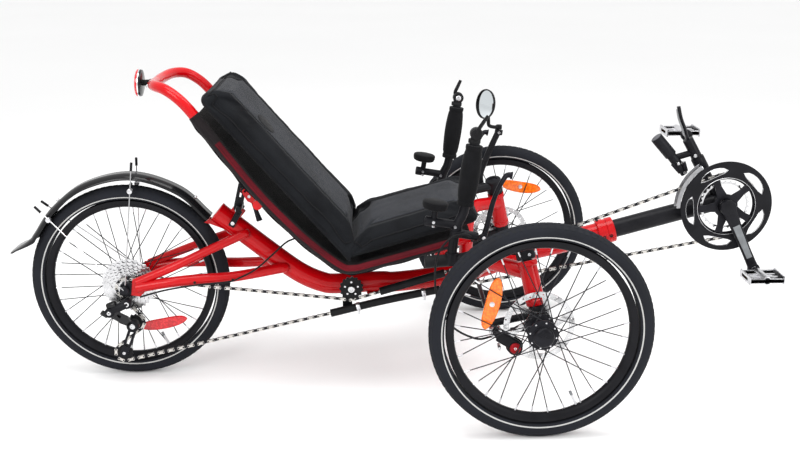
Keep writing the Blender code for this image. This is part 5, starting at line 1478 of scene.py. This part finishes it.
def cushion(name, along, out, span, depth, kept, seams, badge=None):
    """A padded block mitred at the hip line: swollen as cloth, then creased along its seams and piped."""
    across = out.cross(along)
    turn = Matrix((along, across, out)).transposed()
    inset, skin = 0.0015, 0.0025
    size = (span[1] - span[0] - 2 * inset, 2 * (HALF_WIDTH - inset), depth[1] - depth[0] - skin)
    middle = BACK_ORIGIN + along * sum(span) / 2 + out * (depth[0] + size[2] / 2 + 0.0005)
    block = bmesh.new()
    bmesh.ops.create_cube(block, size=1.0)
    bmesh.ops.scale(block, vec=Vector(size), verts=block.verts)
    bmesh.ops.bevel(block, geom=list(block.edges), offset=0.018, segments=6, affect="EDGES", profile=0.5)
    for vertex in block.verts:
        vertex.co = middle + turn @ vertex.co
    facing = MITRE_FORWARD * -kept
    bmesh.ops.bisect_plane(block, geom=[*block.verts, *block.edges, *block.faces],
                           plane_co=MITRE_POINT + facing * 0.0028, plane_no=facing, clear_outer=True)
    bmesh.ops.holes_fill(block, edges=block.edges)
    raw = bpy.data.meshes.new("block")
    block.to_mesh(raw)
    block.free()
    carrier = bpy.data.objects.new("block", raw)
    bpy.context.scene.collection.objects.link(carrier)
    voxel = carrier.modifiers.new("voxel", "REMESH")
    voxel.mode, voxel.voxel_size = "VOXEL", 0.006
    fine = bpy.data.meshes.new_from_object(carrier.evaluated_get(bpy.context.evaluated_depsgraph_get()))
    bpy.data.objects.remove(carrier)
    base_level = BACK_ORIGIN.dot(out) + depth[0]
    fine = swollen(fine, lambda p: p.dot(out) < base_level + 0.010, 0.011)
    work = bmesh.new()
    work.from_mesh(fine)
    bmesh.ops.subdivide_edges(work, edges=work.edges, cuts=1, use_grid_fill=True, smooth=0.4)
    work.normal_update()
    for vertex in work.verts:
        level = vertex.co.dot(out) - base_level
        high = min(max((level - 0.012) / 0.02, 0.0), 1.0)
        upward = max(vertex.normal.dot(out), 0.0)
        sink = 0.0
        for seam in seams:
            gap = (abs(vertex.co.y) - seam) / 0.0042
            sink += 0.0022 * math.exp(-gap * gap) * upward
            broad = (abs(vertex.co.y) - seam) / 0.020
            sink += 0.0012 * math.exp(-broad * broad) * upward
        place = vertex.co
        pucker = noise.noise(Vector((place.x * 26, place.y * 9, place.z * 26)))
        fine_fold = noise.noise(Vector((place.x * 70, place.y * 30, place.z * 70)) + Vector((5, 0, 0)))
        vertex.co = place + vertex.normal * high * (0.0012 * pucker + 0.0005 * fine_fold - sink)
    points = [v.co.copy() for v in work.verts]
    work.verts.index_update()
    faces = [[v.index for v in f.verts] for f in work.faces]
    normals = [f.normal.copy() for f in work.faces]
    spots = [f.calc_center_median() for f in work.faces]
    tree = BVHTree.FromBMesh(work)
    work.free()
    shape = Shape()
    inside = [abs(s.y) < seams[0] and n.dot(out) > 0.45 for s, n in zip(spots, normals)]
    used = {}
    for skin_wanted, flag in ((SIDES, False), (PANEL, True)):
        if skin_wanted not in shape.mats:
            shape.mats.append(skin_wanted)
        used[flag] = shape.mats.index(skin_wanted)
    shape.points = [tuple(p) for p in points]
    shape.faces = [tuple(f) for f in faces]
    shape.skins = [used[flag] for flag in inside]
    made = shape.make(f"{name}_cover", "seat", (name,), "fabric", crease=180)
    trim(name, tree, along, out, span, kept, seams)
    if badge:
        label(tree, along, out, badge)


def surface_point(tree, spot, out, lift):
    """Where a line dropped along -out from above spot meets the cushion."""
    hit, normal, _, _ = tree.ray_cast(spot + out * 0.2, -out)
    return (hit + normal * lift, normal) if hit else (None, None)


def trim(name, tree, along, out, span, kept, seams):
    """Piping along the seams and round the cushion's front edge."""
    shape = Shape()
    low, high = span
    origin = BACK_ORIGIN
    for seam in seams:
        for side in (RIGHT, LEFT):
            line = []
            for k in range(80):
                spot = origin + along * (low + (high - low) * k / 79) + Vector((0, side * seam, 0))
                point, _ = surface_point(tree, spot, out, 0.0002)
                if point and (point - MITRE_POINT).dot(MITRE_FORWARD) * kept > 0.001:
                    line.append(point)
            if len(line) > 4:
                sweep(shape, line, 0.0017, PIPING, 8)
    edge = 0.0105
    for side in (RIGHT, LEFT):
        line = []
        for k in range(80):
            reach = low + (high - low - edge) * k / 79
            spot = origin + along * reach + Vector((0, side * (HALF_WIDTH - edge), 0))
            point, _ = surface_point(tree, spot, out, 0.0004)
            if point and (point - MITRE_POINT).dot(MITRE_FORWARD) * kept > 0.001:
                line.append(point)
        if len(line) > 4:
            sweep(shape, line, 0.0019, PIPING, 8)
    line = []
    for k in range(60):
        y = (HALF_WIDTH - edge) * (2 * k / 59 - 1)
        point, _ = surface_point(tree, origin + along * (high - edge) + Vector((0, y, 0)), out, 0.0004)
        if point:
            line.append(point)
    if len(line) > 4:
        sweep(shape, line, 0.0019, PIPING, 8)
    shape.make(f"{name}_piping", "seat", slot="fabric")


def label(tree, along, out, where):
    """A blank oval badge sewn on the back cushion."""
    shape = Shape()
    centre = BACK_ORIGIN + along * where[0] + Vector((0, where[1], 0))
    rings = []
    for size, lift in ((1.0, -0.0010), (1.0, 0.0008), (0.92, 0.0014)):
        ring = []
        for k in range(36):
            a = 2 * math.pi * k / 36
            spot = centre + along * 0.027 * size * math.cos(a) + Vector((0, 0.034 * size * math.sin(a), 0))
            point, _ = surface_point(tree, spot, out, lift)
            ring.append(point)
        rings.append(ring)
    skin_rings(shape, rings, PIPING)
    shape.make("seat_back_badge", "seat", slot="fabric")


def recline_hardware():
    shape = Shape()
    bolt_spot, top = Vector((-0.6885, 0, 0.4215)), Vector((-0.672, 0, 0.488))
    along = (top - bolt_spot).normalized()
    across = Vector((along.z, 0, -along.x))
    reach = (top - bolt_spot).length / 2
    loop = []
    for end in (1, -1):
        for k in range(9):
            a = -math.pi / 2 + math.pi * k / 8
            loop.append((end * reach * 0.86 + end * 0.0100 * math.cos(a), end * 0.0100 * math.sin(a)))
    slot_hole = [(-0.006, -0.0028), (0.022, -0.0028), (0.022, 0.0028), (-0.006, 0.0028)]
    for side in (RIGHT, LEFT):
        cutout(shape, [loop, slot_hole], 0.0032, (bolt_spot + top) / 2 + Vector((0, side * 0.0086, 0)), BLACK,
               axes(along, across), 0.0005)
        bolt(shape, bolt_spot + Vector((0, side * 0.0100, 0)), (0, side, 0), 0.0058, STEEL, 0.0030)
    rod(shape, bolt_spot - Vector((0, 0.008, 0)), bolt_spot + Vector((0, 0.008, 0)), 0.0042, STEEL, 16)
    for side in (RIGHT, LEFT):
        start, end = Vector((-0.7035, side * 0.0285, 0.3850)), Vector((-0.6800, side * 0.0285, 0.4250))
        box(shape, ((end - start).length, 0.0060, 0.0150), (start + end) / 2, BLACK,
            axes(end - start, (0, 1, 0)),
            0.002)
        bolt(shape, start.lerp(end, 0.22) + Vector((0, side * 0.003, 0)), (0, side, 0), 0.0050, STEEL, 0.0025)
        bolt(shape, start.lerp(end, 0.75) + Vector((0, side * 0.003, 0)), (0, side, 0), 0.0040, ALLOY, 0.0030)
    rod(shape, (-0.6830, -0.0300, 0.4280), (-0.6830, 0.0300, 0.4280), 0.0075, BLACK, 24, edge=0.0015)
    shape.make("recline_strut_plates", "frame", ("recline_strut",), "black_metal")
    lever = Shape()
    spot = Vector((-0.668, 0, 0.472))
    lathe(lever, [(0.0, 0.0106), (0.0070, 0.0106), (0.0085, 0.0120), (0.0085, 0.0210), (0.0070, 0.0228),
                  (0.0, 0.0228)],
          spot, ALLOY, (0, -1, 0), 28)
    route = smooth([spot + Vector((0, -0.0185, 0)), (-0.6505, -0.0205, 0.4480), (-0.634, -0.0225, 0.3975)], 8)
    count = len(route)
    sweep(lever, route, [0.0036 + 0.0044 * (k / count) ** 3 for k in range(count)], BLACK, 16, squeeze=1.2)
    lever.make("quick_release_lever_blade", "quick_release", ("quick_release_lever",), "black_metal")


def rear_reflector():
    shape = Shape()
    facing = Vector((-0.998, 0, 0.059)).normalized()
    centre = Vector((-0.9035, 0, 0.7330))
    lathe(shape, [(0.0, -0.0085), (0.0230, -0.0085), (0.0310, -0.0062), (0.0316, -0.0030), (0.0300, -0.0022)],
          centre, GLOSS, facing, 56)
    lathe(shape, [(0.0300, -0.0030), (0.0328, -0.0026), (0.0330, -0.0012), (0.0328, 0.0002)], centre,
          CHROME, facing,
          56)
    lathe(shape, [(0.0326, -0.0004), (0.0322, 0.0040), (0.0290, 0.0066), (0.0200, 0.0080), (0.0, 0.0086)],
          centre, RED_LENS, facing, 56)
    rod(shape, (-0.8765, 0, 0.7335), (-0.8960, 0, 0.7333), 0.0072, PLASTIC, 24, edge=0.001)
    rod(shape, (-0.8770, -0.0090, 0.7335), (-0.8770, 0.0090, 0.7335), 0.0080, PLASTIC, 20, edge=0.002)
    rod(shape, (-0.8830, -0.0110, 0.7260), (-0.8830, -0.0080, 0.7260), 0.0042, STEEL, 16, edge=0.0006)
    shape.make("rear_reflector_lamp", "seat", ("rear_reflector",), "red_lens")


# ---------------------------------------------------------------- studio

SENSOR_MM, LENS_MM = 36.0, 47.808


def studio():
    """White floor and world, three soft lamps, and the camera."""
    scene = bpy.context.scene
    camera = bpy.data.objects.new("camera", bpy.data.cameras.new("camera"))
    scene.collection.objects.link(camera)
    azimuth, elevation, roll = math.radians(-1.352), math.radians(16.008), math.radians(-0.6065)
    right = Vector((math.cos(azimuth), math.sin(azimuth), 0))
    back = Vector((math.sin(azimuth) * math.cos(elevation),
                   -math.cos(azimuth) * math.cos(elevation), math.sin(elevation)))
    up = back.cross(right)
    turned_right = right * math.cos(roll) + up * math.sin(roll)
    turned_up = up * math.cos(roll) - right * math.sin(roll)
    matrix = Matrix((turned_right, turned_up, back)).transposed().to_4x4()
    matrix.translation = at((-0.3516, -2.5195, 1.0877))
    camera.matrix_world = matrix
    camera.data.sensor_width, camera.data.lens = SENSOR_MM, LENS_MM
    scene.camera = camera

    mesh = bpy.data.meshes.new("floor")
    mesh.from_pydata([(-30, -12, 0), (30, -12, 0), (30, 60, 0), (-30, 60, 0)], [], [(0, 1, 2, 3)])
    floor = bpy.data.objects.new("floor", mesh)
    floor.location.z = -0.0004
    mesh.materials.append(surface("floor_white", (0.93, 0.93, 0.93), 0.7, vary=0.01, patch=0.4,
                                  grain=60, bump=0.01,
                                  specular=0.2))
    scene.collection.objects.link(floor)

    world = bpy.data.worlds.new("world")
    world.use_nodes = True
    world.node_tree.nodes["Background"].inputs[0].default_value = (1.0, 1.0, 1.0, 1)
    world.node_tree.nodes["Background"].inputs[1].default_value = 1.02
    scene.world = world
    for name, spot, aim, size, power in (("over", (-0.1, -0.3, 2.6), (-0.2, 0, 0.3), (2.6, 1.2), 44),
                                         ("key", (-1.8, -2.4, 2.0), (-0.2, 0, 0.35), (1.4, 1.4), 34),
                                         ("fill", (2.0, -1.8, 1.4), (0.0, 0, 0.3), (1.2, 1.6), 22)):
        lamp = bpy.data.lights.new(name, "AREA")
        lamp.shape, lamp.size, lamp.size_y, lamp.energy = "RECTANGLE", size[0], size[1], power
        carrier = bpy.data.objects.new(name, lamp)
        carrier.location = at(spot)
        carrier.rotation_mode = "QUATERNION"
        carrier.rotation_quaternion = (at(spot) - at(aim)).to_track_quat("Z", "Y")
        scene.collection.objects.link(carrier)
    scene.view_settings.view_transform = "Standard"


def build():
    front_wheels()
    rear_wheel()
    main_frame()
    for side in (RIGHT, LEFT):
        cross_arm(side)
        rear_stays(side)
        knuckle(side)
        handlebar(side)
        bar_levers(side)
        caliper(side)
        brake_hose(side)
    rear_axle()
    fender()
    chains()
    chain_tubes()
    cassette()
    rear_derailleur()
    idler()
    boom_piece()
    front_cage()
    chainrings()
    cranks()
    tie_rod()
    shift_cable()
    mirror()
    seat_frame()
    sling()
    cushion("seat_back_cushion", BACK_UP, BACK_OUT, (-0.040, 0.508), (0.0215, 0.074), -1, (0.108,),
            (0.360, -0.066))
    cushion("seat_base_cushion", BASE_FORWARD, BASE_UP, (-0.020, 0.340), (0.0175, 0.062), 1, (0.108,))
    recline_hardware()
    rear_reflector()
    studio()


build()
bpy.context.view_layer.update()
